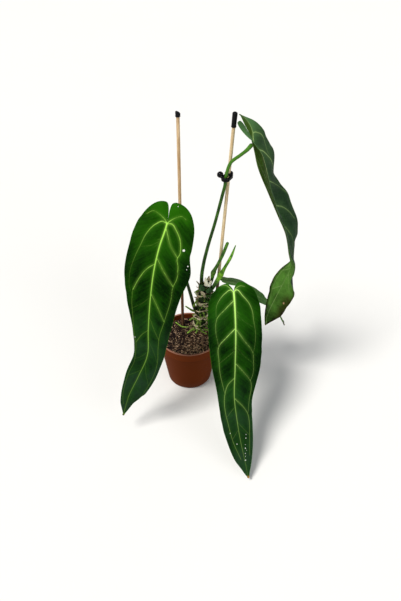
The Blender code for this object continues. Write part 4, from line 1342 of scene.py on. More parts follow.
def papery_scale(heap, foot, up, out, width, length, curl, tone, look):
    """A thin dry scale: a pointed sheet that stands at foot, bends outwards and cups inwards."""
    up, out = Vector(up).normalized(), Vector(out).normalized()
    side = up.cross(out).normalized()
    rows, columns = 14, 8
    points = []
    for layer in (0, 1):
        for row in range(rows + 1):
            t = row / rows
            half = width / 2 * math.sqrt(max(0.0, 1 - t**1.7)) * (0.75 + 0.6 * t * (1 - t))
            for column in range(columns + 1):
                u = 2 * column / columns - 1
                cup = 0.3 * width * (1 - u * u) * (1 - 0.5 * t)
                place = Vector(foot) + up * length * t + side * half * u
                place += out * (cup + curl * t * t)
                place += out * 0.5 * noise.noise(place * 0.35)
                points.append(place - out * SCALE_THICKNESS * layer)
    wide = columns + 1
    size = (rows + 1) * wide
    faces = []
    for row in range(rows):
        for column in range(columns):
            a = row * wide + column
            faces.append((a, a + 1, a + 1 + wide, a + wide))
            faces.append((a + size + wide, a + size + 1 + wide, a + size + 1, a + size))
    border = list(range(columns))
    border += [row * wide + columns for row in range(rows)]
    border += [rows * wide + column for column in range(columns, 0, -1)]
    border += [row * wide for row in range(rows, 0, -1)]
    for a, b in zip(border, border[1:] + border[:1]):
        faces.append((b, a, a + size, b + size))
    heap.add(points, faces, look, tone=tone)


def soil_level(x, y):
    """How high the chips lie at a place."""
    far = math.hypot(x - TRUNK[0][0], y - TRUNK[0][1]) / SOIL_MOUND_SPREAD
    swell = noise.noise(Vector((x / SOIL_SWELL_LENGTH, y / SOIL_SWELL_LENGTH, 3.7)))
    return SOIL_HEIGHT + SOIL_MOUND * math.exp(-far * far / 2) + SOIL_SWELL * swell


def chip_shape(rng, size):
    """A chip's corners about its own middle: a rough slab with six uneven sides."""
    long, wide, thick = size
    angles = sorted(2 * math.pi * (k + rng.uniform(-0.32, 0.32)) / 6 for k in range(6))
    points = []
    for level in (-0.5, 0.5):
        for angle in angles:
            reach = rng.uniform(0.78, 1.08) * (0.85 if level > 0 else 1.0)
            points.append((long / 2 * reach * math.cos(angle), wide / 2 * reach * math.sin(angle),
                           thick * (level + rng.uniform(-0.18, 0.18))))
    return points


# A chip's faces: its underside, its top and its six sides
CHIP_FACES = [(5, 4, 3, 2, 1, 0), (6, 7, 8, 9, 10, 11)] + [
    (k, (k + 1) % 6, 6 + (k + 1) % 6, 6 + k) for k in range(6)
]


def scatter_chips(heap, sizes, edge, rng):
    """Chips and crumbs over the soil, lighter towards the front right, partly as painted light."""
    for _ in range(sizes.chips):
        reach = (edge - 0.6) * math.sqrt(rng.random())
        angle = rng.uniform(0, 2 * math.pi)
        x, y = reach * math.cos(angle), reach * math.sin(angle)
        kind = rng.random()
        if kind < CRUMBS_BELOW:
            long = rng.uniform(1.2, 2.6)
            size = (long, long * rng.uniform(0.6, 1.0), long * rng.uniform(0.5, 0.9))
        elif kind < CHIPS_BELOW:
            long = rng.uniform(2.6, 5.2)
            size = (long, long * rng.uniform(0.4, 0.8), rng.uniform(0.8, 2.0))
        else:
            long = rng.uniform(4.0, 9.5)
            size = (long, rng.uniform(0.7, 1.9), rng.uniform(0.5, 1.1))
        keep = min(1.0, (edge - 0.45 * long * sizes.chip) / max(reach, 1.0))
        x, y = x * keep, y * keep
        turn = Matrix.Rotation(rng.uniform(0, 2 * math.pi), 3, "Z")
        tip = Matrix.Rotation(rng.gauss(0, 0.35), 3, (rng.uniform(-1, 1), rng.uniform(-1, 1), 0.01))
        lift = rng.uniform(-0.2, 1.1)
        height = min(soil_level(x, y) + lift, POT_BOX[1].z / MM - CHIPS_UNDER_RIM)
        matrix = tip @ turn
        base = Vector((x, y, height))
        points = [base + matrix @ (Vector(corner) * sizes.chip) for corner in chip_shape(rng, size)]
        # 0 at the back left and 1 at the front right, where more chips are pale and all are lighter:
        # partly real pale chips and partly painted light, with the back left painted darker as shade
        front = max(0.0, min(1.0, (x - 0.6 * y + 15) / 60))
        pale = rng.random() < 0.04 + 0.4 * front
        tone = rng.uniform(0.62, 1.0) if pale else rng.uniform(0.0, 0.22 + 0.5 * front)
        heap.add(points, CHIP_FACES, tone=tone)


def stake_point(stake, height):
    """A stake's middle at that height."""
    share = (height - FOOT_HEIGHT) / (stake.height - FOOT_HEIGHT)
    x, y = (foot + (head - foot) * share for foot, head in zip(stake.foot, stake.head))
    return Vector((x, y, height))


def build_pot(settings):
    """The nursery pot: a tapered wall, a collar with a rolled lip, and a floor with drain holes."""
    top = POT_BOX[1].z / MM
    rim = POT_BOX[1].x / MM
    foot, wall, floor = POT_FOOT_RADIUS, POT_WALL, POT_FLOOR
    neck = rim - POT_COLLAR_MARGIN
    collar = neck + COLLAR_STEP
    outline = rounded((
        (0, POT_RECESS, 0),
        (foot - POT_FOOT_RING, POT_RECESS, 0.5),
        (foot - POT_FOOT_RING + 1, 0, 0.4),
        (foot, 0, 3.6),
        (neck, COLLAR_BOTTOM, 0.5),
        (collar, COLLAR_BOTTOM + 0.9, 0.5),
        (rim - LIP_WIDTH, top - LIP_HEIGHT, 0.4),
        (rim, top - LIP_HEIGHT + 0.4, 0.6),
        (rim, top, 0.9),
        (rim - LIP_WIDTH - wall, top, 0.7),
        (collar - wall, COLLAR_BOTTOM + 2.4, 0.8),
        (neck - wall, COLLAR_BOTTOM + 0.6, 0.6),
        (foot - wall, floor, 3.0),
        (0, floor, 0),
    ), 5)
    points, faces = turned_shape(outline, POT_SIDES)
    heap = Heap()
    heap.add(points, faces)
    colours = (settings.pot_plastic, settings.pot_worn_and_highlight)
    piece = heap.piece("nursery_pot", "pot", [pot_finish(*colours)], ["pot"], sharp=35)
    cutters = bmesh.new()
    for angle in round_angles(DRAIN_HOLES):
        place = Vector((DRAIN_CIRCLE * math.cos(angle), DRAIN_CIRCLE * math.sin(angle), 1)) * MM
        bmesh.ops.create_cone(cutters, cap_ends=True, segments=DRAIN_SIDES,
                              radius1=DRAIN_RADIUS * MM, radius2=DRAIN_RADIUS * MM,
                              depth=DRAIN_DEPTH * MM, matrix=Matrix.Translation(place))
    mesh = bpy.data.meshes.new("drain_holes")
    cutters.to_mesh(mesh)
    cutters.free()
    apply_difference(piece, mesh)


def apply_difference(piece, mesh):
    """Cuts the mesh out of a piece and leaves only the piece."""
    cutter = linked("cutter", mesh)
    modifier = piece.modifiers.new("cut", "BOOLEAN")
    modifier.operation = "DIFFERENCE"
    modifier.solver = "EXACT"
    modifier.object = cutter
    bpy.context.view_layer.update()
    shape = piece.evaluated_get(bpy.context.evaluated_depsgraph_get())
    made = bpy.data.meshes.new_from_object(shape)
    piece.modifiers.clear()
    piece.data = made
    bpy.data.objects.remove(cutter, do_unlink=True)


def build_soil(settings):
    """The soil: a lumpy bed with bark chips, crumbs, slivers and fibres lying on it."""
    rng = random.Random(SOIL_SEED)
    heap = Heap()
    edge = POT_BOX[1].x / MM - SOIL_MARGIN
    rings, sides = SOIL_RINGS, SOIL_SIDES
    points = [(0, 0, soil_level(0, 0) - SOIL_BED)]
    for ring in range(1, rings + 1):
        reach = edge * ring / rings
        for angle in round_angles(sides):
            x, y = reach * math.cos(angle), reach * math.sin(angle)
            lump = 1.3 * noise.noise(Vector((x / 2.6, y / 2.6, 9.1)))
            fine = 0.6 * noise.noise(Vector((x / 1.1, y / 1.1, 2.3)))
            points.append((x, y, soil_level(x, y) - SOIL_BED + lump + fine))
    foot = POT_FOOT_RADIUS - POT_WALL
    side = ((edge - 0.3, COLLAR_BOTTOM + 3.5), (edge - 2.0, COLLAR_BOTTOM), (foot - 1.2, 5.5),
            (foot - 2.5, POT_FLOOR + GAP))
    for reach, height in side:
        for angle in round_angles(sides):
            points.append((reach * math.cos(angle), reach * math.sin(angle), height))
    down = len(points) - sides
    points.append((0, 0, POT_FLOOR + GAP))
    faces = [(0, 1 + k, 1 + (k + 1) % sides) for k in range(sides)]
    for ring in range(rings + len(side) - 1):
        first = 1 + ring * sides
        for k in range(sides):
            a, b = first + k, first + (k + 1) % sides
            faces.append((a, a + sides, b + sides, b))
    faces += [(down + k, len(points) - 1, down + (k + 1) % sides) for k in range(sides)]
    heap.add(points, faces, tone=0.12)
    scatter_chips(heap, settings, edge, rng)
    for _ in range(settings.fibres):
        reach = (edge - 5) * math.sqrt(rng.random())
        angle = rng.uniform(0, 2 * math.pi)
        x, y = reach * math.cos(angle), reach * math.sin(angle)
        start = (x, y, soil_level(x, y) + rng.uniform(0.6, 1.6))
        heading = (rng.uniform(-1, 1), rng.uniform(-1, 1), rng.uniform(0.05, 0.5))
        strand(heap, start, heading, rng.uniform(4, 13), rng.uniform(0.16, 0.34), rng, 0.7,
               rng.uniform(0.45, 1.0))
    tones = (settings.soil_dark, settings.soil_brown, settings.soil_tan)
    heap.piece("soil_mix", "soil", [chip_finish(*tones)], ["soil"], sharp=30)


def build_trunk(settings):
    """The trunk: a ringed core, dry torn skirts, air roots, soil roots and loose fibres."""
    rng = random.Random(TRUNK_SEED)
    core = Heap()
    trunk_skin(core, settings)
    skin = trunk_finish(settings.trunk_green, settings.bark)
    core.piece("trunk_core", "trunk", [skin], ["trunk"])

    dry = Heap()
    for ring in range(RINGS):
        skirt(dry, ring, rng, settings)
    for _ in range(LOOSE_FIBRES):
        ring = rng.randrange(RINGS)
        angle = rng.uniform(0, 2 * math.pi)
        height = rim_height(ring, angle) + rng.uniform(-3.5, 0.5)
        x, y, radius = trunk_at(height)[0]
        reach = radius + 1.6
        start = (x + reach * math.cos(angle), y + reach * math.sin(angle), height)
        heading = (math.cos(angle + rng.uniform(-1.2, 1.2)), math.sin(angle + rng.uniform(-1.2, 1.2)),
                   rng.uniform(-0.9, 0.5))
        strand(dry, start, heading, rng.uniform(3, 9), rng.uniform(0.13, 0.3), rng, 0.5,
               rng.uniform(0.2, 1.0))
    for scale in SCALES:
        papery_scale(dry, *scale)
    looks = (
        papery_finish("dry_sheath", settings.sheath_pale, settings.sheath_dark),
        papery_finish("cream_scale", *CREAM_SCALE),
        papery_finish("green_sheath", *GREEN_SHEATH),
    )
    dry.piece("dry_sheaths", "trunk", looks)

    roots = Heap()
    for route in AIR_ROOTS:
        root(roots, route, AIR_ROOT_TONE, rng)
    for route in SOIL_ROOTS:
        rows = [(*route[0][:2], ROOT_START, route[0][2])]
        rows += [(x, y, soil_level(x, y) + radius + ROOT_LIFT, radius)
                 for x, y, radius in route[1:]]
        root(roots, rows, SOIL_ROOT_TONE, rng)
    for _ in range(settings.nubs):
        angle = rng.uniform(-2.9, 0.6) if rng.random() < 0.75 else rng.uniform(0, 2 * math.pi)
        height = rng.uniform(*NUB_HEIGHTS)
        x, y, radius = trunk_at(height)[0]
        out = Vector((math.cos(angle), math.sin(angle), rng.uniform(-0.5, 0.15)))
        start = Vector((x, y, height)) + out * (radius - 1.5)
        long = rng.uniform(2.5, 7.5)
        thick = rng.uniform(1.0, 1.9)
        bend = Vector((rng.uniform(-0.6, 0.6), rng.uniform(-0.6, 0.6), rng.uniform(-0.9, 0.1)))
        middle = start + out * (long * 0.5 + 1.5)
        end = middle + (out + bend).normalized() * long * 0.5
        root(roots, ((*start, thick), (*middle, thick * 0.95), (*end, thick * 0.7)),
             rng.uniform(0, 1), rng)
    greens = (settings.root_green, settings.root_tan)
    roots.piece("roots", "trunk", [root_finish(*greens)])


def root(heap, route, tone, rng):
    """A root whose thickness varies along it and which ends in a round live tip."""
    rows = stations_along(route, ROOT_STEP)
    turn = rng.uniform(0, 50)
    for number, row in enumerate(rows):
        wobble = noise.noise(Vector((row[0] / 3, row[1] / 3, row[2] / 3 + turn)))
        row[3] *= 1 + 0.16 * wobble
        row[0] += 0.35 * noise.noise(Vector((number / 4, turn, 0)))
        row[2] += 0.35 * noise.noise(Vector((number / 4, turn, 7)))
    points, faces, shares = tube_shape(rows, ROOT_SIDES)
    heap.add(points, faces, tone=tone, share=shares)


def build_leaf(leaf, settings):
    """One blade with its quilted face, ribs under its veins and dabs of residue on it."""
    points, faces, kinds, numbers = blade_mesh(leaf, settings)
    heap = Heap()
    heap.add(points, faces, kinds, **numbers)
    deep, green, vein = BLADE_LOOKS[leaf.name]
    deep, green = (tuple(np.multiply(tone, settings.tint).tolist()) for tone in (deep, green))
    curl_shade = LOBE_CURL_SHADES.get(leaf.name)
    upper = blade_finish(f"blade_{leaf.name}", deep, green, vein, curl_shade)
    under = underside_finish(f"underside_{leaf.name}", *UNDERSIDES[leaf.name], vein)
    heap.piece(f"blade_{leaf.name}", "leaf", [upper, under], [f"leaf_{leaf.name}"])
    if leaf.specks:
        dabs = Heap()
        half = len(points) // 2
        normals = point_normals(points[:half], [face for face, kind in zip(faces, kinds)
                                                if kind == 0 and max(face) < half])
        rng = random.Random(leaf.name)
        for across, down, radius in leaf.specks:
            gap = np.hypot(numbers["across"][:half] / MM - across, numbers["down"][:half] / MM - down)
            nearest = int(gap.argmin())
            dab(dabs, Vector(points[nearest]), Vector(normals[nearest]), radius, rng)
        dabs.piece(f"specks_{leaf.name}", "leaf", [speck_finish(f"residue_{leaf.name}")])


def underside_finish(name, top, low, vein):
    """The underside of a blade: duller than its face, with another green near its tip than at its
    top, raised veins, brown edges and a few tan blemishes. Painted in too: shade on the tall blade's
    top and towards the margins and the tip's far end, a sheen on each lobe and a highlight on the
    rolled margin."""
    f = Finish(name)
    gap, pale = f.number("vein_gap"), f.number("vein_pale")
    across, down = f.number("across"), f.number("down")
    flat = f.flat(across, down)
    cloud = f.noise(flat, 45.0, 4.0)
    mottle = f.noise(flat, 160.0, 4.0, 0.6)
    net = 1 - f.fade(f.cells(f.scaled(flat, (150.0, 105.0, 1.0))), 0.0, 0.1)
    # Top and tip colours; on the tall blade the top one is darkened as painted shade
    green = f.mix(f.fade(down, 0.21, 0.25), top, low)
    margin = f.number("margin")
    tip = f.fade(down, 0.22, 0.27)
    streak = f.noise(f.scaled(flat, (0.45, 1.6, 1.0)), 70.0, 3.0)
    # Random patches, with painted shade towards the margins and at the far end of the tip
    patchy = 0.3 + 0.5 * f.fade(cloud, 0.3, 0.7) + 0.3 * mottle + 0.25 * f.fade(margin, 0.0, 14.0)
    patchy = patchy + 0.55 * tip * (streak - 0.45) - 0.4 * tip * (1 - f.fade(margin, 0.0, 7.0))
    base = f.shade(green, patchy - 0.45 * f.fade(down, 0.285, 0.36))
    # Painted sheen: the lobes are lighter and bluer
    lobe_sheen = (1 - f.fade(down, -0.014, 0.0)) * 0.8
    base = f.mix(lobe_sheen.held(), base, LOBE_SHEEN)
    base = f.mix((net * 0.2).held(), base, lighter(low, 1.3))
    on_vein = 1 - f.fade(gap, 0.8, 1.6)
    base = f.mix((on_vein * (0.2 + 0.5 * pale + 0.25 * tip)).held(), base, lighter(vein, 0.45))
    brown = (1 - f.fade(margin - 2 * mottle, 0.0, 1.4)) * 0.6
    base = f.mix(brown.held(), base, BROWN_MARGIN)
    # Painted highlight along the rolled margin near the top
    rolled = (1 - f.fade(margin, 0.3, 1.0)) * f.fade(down, 0.0, 0.01)
    rolled = rolled * (1 - f.fade(down + 0.01 * mottle, 0.04, 0.055)) * 0.8
    base = f.mix(rolled.held(), base, MARGIN_HIGHLIGHT)
    blotch = f.fade(f.noise(flat, 120.0, 3.0), 0.68, 0.74) * 0.35
    base = f.mix(blotch.held(), base, BLEMISH)
    # A darker patch on one side of the tip
    dark_side = tip * f.fade(-1 * across, 0.006, 0.02) * f.fade(down, 0.29, 0.315)
    base = f.mix((dark_side * (0.3 + 0.9 * mottle)).held(), base, DARK_TIP_SIDE)
    beside, below = across - SCAR_PLACE[0] * MM, down - SCAR_PLACE[1] * MM
    scar = 1 - f.fade(beside * beside + below * below + 0.00002 * (mottle - 0.5), 0.0, 0.000008)
    base = f.mix((scar * 0.9).held(), base, SCAR)
    return f.done(
        Base_Color=base,
        Roughness=(0.5 + 0.15 * cloud).held(),
        Normal=f.bump(net, 0.0004, 0.7),
        Specular_IOR_Level=0.01,
    )


def shoot_finish(name, dark, light, knuckle):
    """A rolled young leaf: fine streaks along it, and a paler knuckle where it starts."""
    f = Finish(name)
    share = f.number("share")
    streak = f.noise(f.scaled(f.place(), (1.0, 1.0, 0.16)), 700.0, 3.0)
    cloud = f.noise(f.place(), 130.0, 3.0)
    base = f.mix(f.fade(streak * 0.55 + cloud * 0.45, 0.36, 0.64), dark, light)
    foot = (1 - f.fade(share + 0.1 * cloud, knuckle - 0.2, knuckle - 0.06)) * 0.85
    base = f.mix(foot.held(), base, lighter(dark, 0.7))
    past = share - (knuckle - 0.03)
    swell = (1 - f.fade(past * past + 0.001 * cloud, 0.001, 0.009)) * 0.75
    base = f.mix(swell.held(), base, lighter(light, 1.6))
    ring = 1 - f.fade((share - knuckle) * (share - knuckle), 0.0, 0.0009)
    base = f.mix((ring * 0.4).held(), base, KNUCKLE_BROWN)
    return f.done(
        Base_Color=base,
        Roughness=(0.3 + 0.2 * streak).held(),
        Normal=f.bump(streak, 0.0002, 0.5),
        Specular_IOR_Level=0.15,
    )


def speck_finish(name):
    """Chalky residue of dried water."""
    f = Finish(name)
    grain = f.noise(f.place(), 2500.0, 4.0, 0.7)
    base = f.mix(grain, *RESIDUE)
    return f.done(Base_Color=base, Roughness=0.8, Normal=f.bump(grain, 0.0001, 0.8))


def dab(heap, place, normal, radius, rng):
    """A dried drop of residue: a low round cushion that is sunk a little into the blade."""
    side = normal.orthogonal().normalized()
    other = normal.cross(side)
    sides, rings = 18, 5
    points = []
    ripple = [rng.uniform(0.86, 1.1) for _ in range(sides)]
    for ring in range(rings):
        angle = math.radians(-40 + 125 * ring / (rings - 1))
        reach, rise = math.cos(angle), DAB_RISE * math.sin(angle)
        for turn, uneven in zip(round_angles(sides), ripple):
            out = radius * reach * uneven
            points.append(place + side * out * math.cos(turn) + other * out * math.sin(turn)
                          + normal * radius * rise)
    heap.add(points, ring_faces(rings, sides))


def stalk_rows(leaf, closer, step):
    """Rows of (x, y, z, radius) up a stalk to where it ends under its blade, past the junction.
    closer says how much closer to the blade than the part's stalk it ends."""
    where, rows, _, normals, _, _ = blade_frame(leaf, row_step=1.0, lobe_rows=8)
    row = int(np.argmin(abs(where - STALK_SEAT)))
    depth = BLADE_EDGE + KEEL_DEPTH + GAP + leaf.stalk_end - closer
    end = rows[row, :3] - normals[row] * depth
    return stations_along([*leaf.stalk, (*end, leaf.stalk_end)], step)


def build_stalk(leaf, settings):
    """One stalk: a swollen neck under the blade, a smooth shaft and a sheathed foot."""
    rows = stalk_rows(leaf, STALK_CLOSER, STALK_STEP)
    length = along(rows[:, :3])
    left = length[-1] - length
    factor = 1.0
    for place, reach, share in STALK_SWELLS:
        factor = factor + share * bell(left - place, reach)
    rows[:, 3] *= factor + FOOT_SWELL * bell(length, FOOT_REACH)

    def profile(angles, share):
        return 1 - STALK_GROOVE * (1 - share) * bell(angles - math.pi / 2, 0.5)

    points, faces, shares = tube_shape(rows, STALK_SIDES, profile)
    heap = Heap()
    heap.add(points, faces, share=shares)
    dark, light = STALK_LOOKS[leaf.name]
    finish = stalk_finish(f"stalk_{leaf.name}", dark, light, settings.stalk_foot)
    heap.piece(f"stalk_{leaf.name}_skin", "stalk", [finish], [f"stalk_{leaf.name}"])


def build_shoot(name):
    """A young shoot: a leaf still rolled up, with its seam and the knuckle it grows from."""
    shoot = SHOOTS[name]
    rows = stations_along(shoot.route, SHOOT_STEP)
    length = along(rows[:, :3])
    share = length / length[-1]
    rows[:, 3] *= 1 + KNUCKLE_SWELL * bell(share - shoot.knuckle, KNUCKLE_REACH)

    def profile(angles, part):
        turned = (angles + SEAM_TURN * part + shoot.seam) % (2 * math.pi) - math.pi
        rolled = np.clip((part - shoot.knuckle) * 8, 0, 1)
        step = SEAM_STEP * rolled * np.where(turned > 0, np.exp(-turned / SEAM_STEP_REACH), 0)
        groove = SEAM_GROOVE * rolled * bell(turned, SEAM_GROOVE_REACH)
        return 1 + step - groove

    points, faces, shares = tube_shape(rows, SHOOT_SIDES, profile)
    heap = Heap()
    heap.add(points, faces, share=shares)
    finish = shoot_finish(f"{name}_skin", shoot.dark, shoot.light, shoot.knuckle)
    heap.piece(f"{name}_skin", "stalk", [finish], [name])


def build_stake(stake):
    """A split and sanded stick, not quite round, with its grain along it."""
    top = stake.height - stake.roof - GAP
    heights = np.linspace(STAKE_BOTTOM, top, STAKE_ROWS)
    points = []
    for height in heights:
        middle = stake_point(stake, height)
        for angle in round_angles(STAKE_SIDES):
            along_grain = height / STAKE_GRAIN_LENGTH + stake.turn
            spot = Vector((2 * math.cos(angle), 2 * math.sin(angle), along_grain))
            reach = STAKE_RADIUS * (1 + STAKE_UNEVEN * noise.noise(spot))
            points.append(middle + Vector((reach * math.cos(angle), reach * math.sin(angle), 0)))
    heap = Heap()
    heap.add(points, ring_faces(STAKE_ROWS, STAKE_SIDES))
    finish = wood_finish(f"wood_{stake.name}", *STAKE_LOOKS[stake.name])
    heap.piece(f"stake_{stake.name}_wood", "stake", [finish], [f"stake_{stake.name}"], sharp=50)


def build_cap(stake, settings):
    """A soft cap on a stake: a rolled hem below, and a worn round or slanted top."""
    outline = rounded((
        (0, -stake.roof, 0),
        (CAP_BORE, -stake.roof, 0.3),
        (CAP_BORE, -stake.cap, 0.2),
        (CAP_RADIUS, -stake.cap, 0.45),
        (CAP_RADIUS, -stake.cap + 1.5, 0.25),
        (CAP_RADIUS - 0.25, -stake.cap + CAP_HEM, 0.25),
        (CAP_RADIUS - 0.15, -stake.cap / 2, 0),
        (CAP_RADIUS - 0.05, -1.6, 1.0),
        (CAP_RADIUS * 0.7, -0.35, 0.6),
        (0, 0, 0),
    ), 4)
    points, faces = turned_shape(outline, CAP_SIDES)
    hem = CAP_HEM - stake.cap
    for point in points:
        outside = math.hypot(point[0], point[1]) > CAP_BORE + 0.3 or point[2] > 0.3 - stake.roof
        if outside and point[2] > hem:
            point[2] = hem + (point[2] - hem) * (1 + stake.slant * (point[0] + CAP_RADIUS) / hem)
    head = stake_point(stake, stake.height)
    way = head - stake_point(stake, FOOT_HEIGHT)
    turn = Vector((0, 0, 1)).rotation_difference(way).to_matrix()
    points = [turn @ Vector(point) + head for point in points]
    heap = Heap()
    heap.add(points, faces)
    finish = rubber_finish(f"rubber_{stake.name}", settings.rubber, 0.38, 0.0001)
    heap.piece(f"cap_{stake.name}", "cap", [finish], [f"stake_cap_{stake.name}"], sharp=45)


def ring_route(centres, reach, height, steps):
    """Points of a closed loop round one or two upright things."""
    first, second = Vector(centres[0]), Vector(centres[-1])
    heading = math.atan2(*(second - first).yx) if len(centres) > 1 else 0.0
    path = []
    for centre, start in ((second, heading - math.pi / 2), (first, heading + math.pi / 2)):
        for k in range(steps + 1):
            angle = start + math.pi * k / steps
            point = centre + reach * Vector((math.cos(angle), math.sin(angle)))
            path.append(Vector((*point, height)))
    if len(centres) == 1:
        path = path[:steps] + path[steps + 1:-1]
    return path


def cord_loop(heap, path, radius):
    """One closed turn of cord along path."""
    points = []
    for number, point in enumerate(path):
        ahead = path[(number + 1) % len(path)] - path[number - 1]
        out = Vector((ahead.y, -ahead.x, 0)).normalized()
        for angle in round_angles(TIE_SIDES):
            points.append(point + out * radius * math.cos(angle)
                          + Vector((0, 0, radius * math.sin(angle))))
    heap.add(points, loop_faces(len(path), TIE_SIDES))


def build_tie(settings):
    """The cord tie: loops round the stake and the tall stalk, and the ball on its end."""
    stake = next(stake for stake in STAKES if stake.name == "right")
    tall = next(leaf for leaf in LEAVES if leaf.name == "tall")
    rows = stalk_rows(tall, 0.0, 2.0)
    reach = STAKE_RADIUS + 2 * GAP + TIE_CORD
    heap = Heap()
    for turn in range(TIE_TURNS):
        height = TIE_HEIGHT + TIE_PITCH * turn
        stalk = rows[np.argmin(abs(rows[:, 2] - height))]
        centres = [stake_point(stake, height)[:2]]
        size = reach - GAP
        if turn < TIE_SHARED:
            centres.insert(0, stalk[:2])
            size = reach
            start = (stalk[0] - reach - TIE_NECK / 2, stalk[1] + TIE_NECK / 2, height)
        cord_loop(heap, ring_route(centres, size, height, TIE_STEPS), TIE_CORD)
    neck = stations_along([(*start, TIE_NECK), (*TIE_BALL, TIE_NECK)], 1.0)
    points, faces, _ = tube_shape(neck, TIE_SIDES)
    heap.add(points, faces)
    ball = bmesh.new()
    bmesh.ops.create_icosphere(ball, subdivisions=4, radius=TIE_BALL_RADIUS,
                               matrix=Matrix.Translation(Vector(TIE_BALL)))
    heap.add([vertex.co[:] for vertex in ball.verts],
             [tuple(vertex.index for vertex in face.verts) for face in ball.faces])
    ball.free()
    finish = rubber_finish("tie_rubber", settings.rubber, 0.16, 0.00005)
    heap.piece("cord_tie", "tie", [finish], ["tie"])


def soft_sun(name, strength, heading, spread, tone):
    """A soft far light that shines along heading."""
    light = bpy.data.lights.new(name, "SUN")
    light.energy = strength
    light.angle = math.radians(spread)
    light.color = tone
    lamp = linked(name, light)
    lamp.rotation_euler = Vector(heading).to_track_quat("-Z", "Y").to_euler()


def build_stage(settings):
    """A pale floor, a pale sky, two soft lights and the camera."""
    size = settings.floor_size
    mesh = bpy.data.meshes.new("floor")
    corners = [(-size, -size, 0), (size, -size, 0), (size, size, 0), (-size, size, 0)]
    mesh.from_pydata(corners, [], [(0, 1, 2, 3)])
    mesh.materials.append(floor_finish(settings.floor_tone))
    floor = linked("floor", mesh)

    world = bpy.data.worlds.new("studio")
    world.use_nodes = True
    sky = world.node_tree.nodes["Background"]
    sky.inputs["Color"].default_value = (*settings.sky_tone, 1.0)
    sky.inputs["Strength"].default_value = settings.sky_strength
    bpy.context.scene.world = world
    soft_sun("key_light", settings.key_strength, *KEY_LIGHT)
    soft_sun("fill_light", settings.fill_strength, *FILL_LIGHT)

    camera = bpy.data.cameras.new("camera")
    camera.lens = settings.lens
    camera.sensor_width = SENSOR_WIDTH
    camera.clip_start = 0.01
    eye = linked("camera", camera)
    eye.location = CAMERA_PLACE
    eye.rotation_euler = (math.radians(CAMERA_TILT), 0, 0)
    bpy.context.scene.camera = eye
    bpy.context.scene.view_settings.view_transform = "Standard"


def colour_setting(name, text, value):
    """A colour that the panel shows."""
    return FloatVectorProperty(name=name, description=text, default=value, subtype="COLOR", size=3,
                               min=0.0, max=1.0)


def length_setting(name, text, value):
    """A length in metres that the panel shows."""
    return FloatProperty(name=name, description=text, default=value, min=0.0, unit="LENGTH",
                         precision=5)


class AnthuriumLeafSettings(bpy.types.PropertyGroup):
    """Sizes and tint of the blades."""

    row_step: length_setting("Row step", "Distance between rows of a blade's mesh", 0.00125)
    columns: IntProperty(name="Columns", description="Columns in each half", default=50, min=4)
    lobe_rows: IntProperty(name="Lobe rows", description="Rows in the lobes", default=44, min=6)
    puff: length_setting("Quilting", "How far the face stands up between veins", 0.0016)
    rib: length_setting("Rib height", "How far a vein stands out of the face", 0.0006)
    thickness: length_setting("Thickness", "Thickness of a blade", 0.0008)
    tint: colour_setting("Tint", "Multiplies the green of every blade", (1.0, 1.0, 1.0))


class AnthuriumStalkSettings(bpy.types.PropertyGroup):
    """Looks of the stalks."""

    stalk_foot: colour_setting("Foot", "Colour of the old foot of a stalk", (0.11, 0.075, 0.03))


class AnthuriumTrunkSettings(bpy.types.PropertyGroup):
    """Sizes and looks of the trunk and its roots."""

    row_step: length_setting("Row step", "Distance between rows of the core's mesh", 0.0009)
    skirt: length_setting("Skirt", "Longest drop of the torn skirt on a ring", 0.0027)
    nubs: IntProperty(name="Root nubs", description="Short root tips on the trunk", default=60, min=0)
    trunk_green: colour_setting("Green", "Live skin of the trunk", (0.032, 0.075, 0.012))
    bark: colour_setting("Bark", "Old rings of the trunk", (0.42, 0.32, 0.14))
    sheath_pale: colour_setting("Pale sheath", "Light papery sheath", (0.8, 0.68, 0.44))
    sheath_dark: colour_setting("Dark sheath", "Dark papery sheath", (0.13, 0.09, 0.04))
    root_green: colour_setting("Live root", "Green end of a root", (0.2, 0.34, 0.045))
    root_tan: colour_setting("Old root", "Dry sleeve of a root", (0.1, 0.085, 0.035))


class AnthuriumSoilSettings(bpy.types.PropertyGroup):
    """Amount and looks of the soil mix."""

    chips: IntProperty(name="Chips", description="Chips and crumbs on the soil", default=3300, min=0)
    fibres: IntProperty(name="Fibres", description="Loose fibres on the soil", default=260, min=0)
    chip: FloatProperty(name="Chip size", description="Factor on every chip", default=0.9, min=0.1)
    soil_dark: colour_setting("Dark", "Wet crumbs", (0.014, 0.008, 0.008))
    soil_brown: colour_setting("Brown", "Bark chips", (0.18, 0.1, 0.055))
    soil_tan: colour_setting("Tan", "Dry wood chips", (0.78, 0.52, 0.32))


class AnthuriumPotSettings(bpy.types.PropertyGroup):
    """Looks of the pot."""

    pot_plastic: colour_setting("Plastic", "Moulded plastic", (0.105, 0.021, 0.0035))
    # The worn colour is also the painted highlight on the lip
    pot_worn_and_highlight: colour_setting("Worn lip", "Worn and dusty plastic", (0.4, 0.19, 0.13))


class AnthuriumStakeSettings(bpy.types.PropertyGroup):
    """Looks of the caps and the tie."""

    rubber: colour_setting("Rubber", "Black caps and tie", (0.004, 0.0042, 0.005))


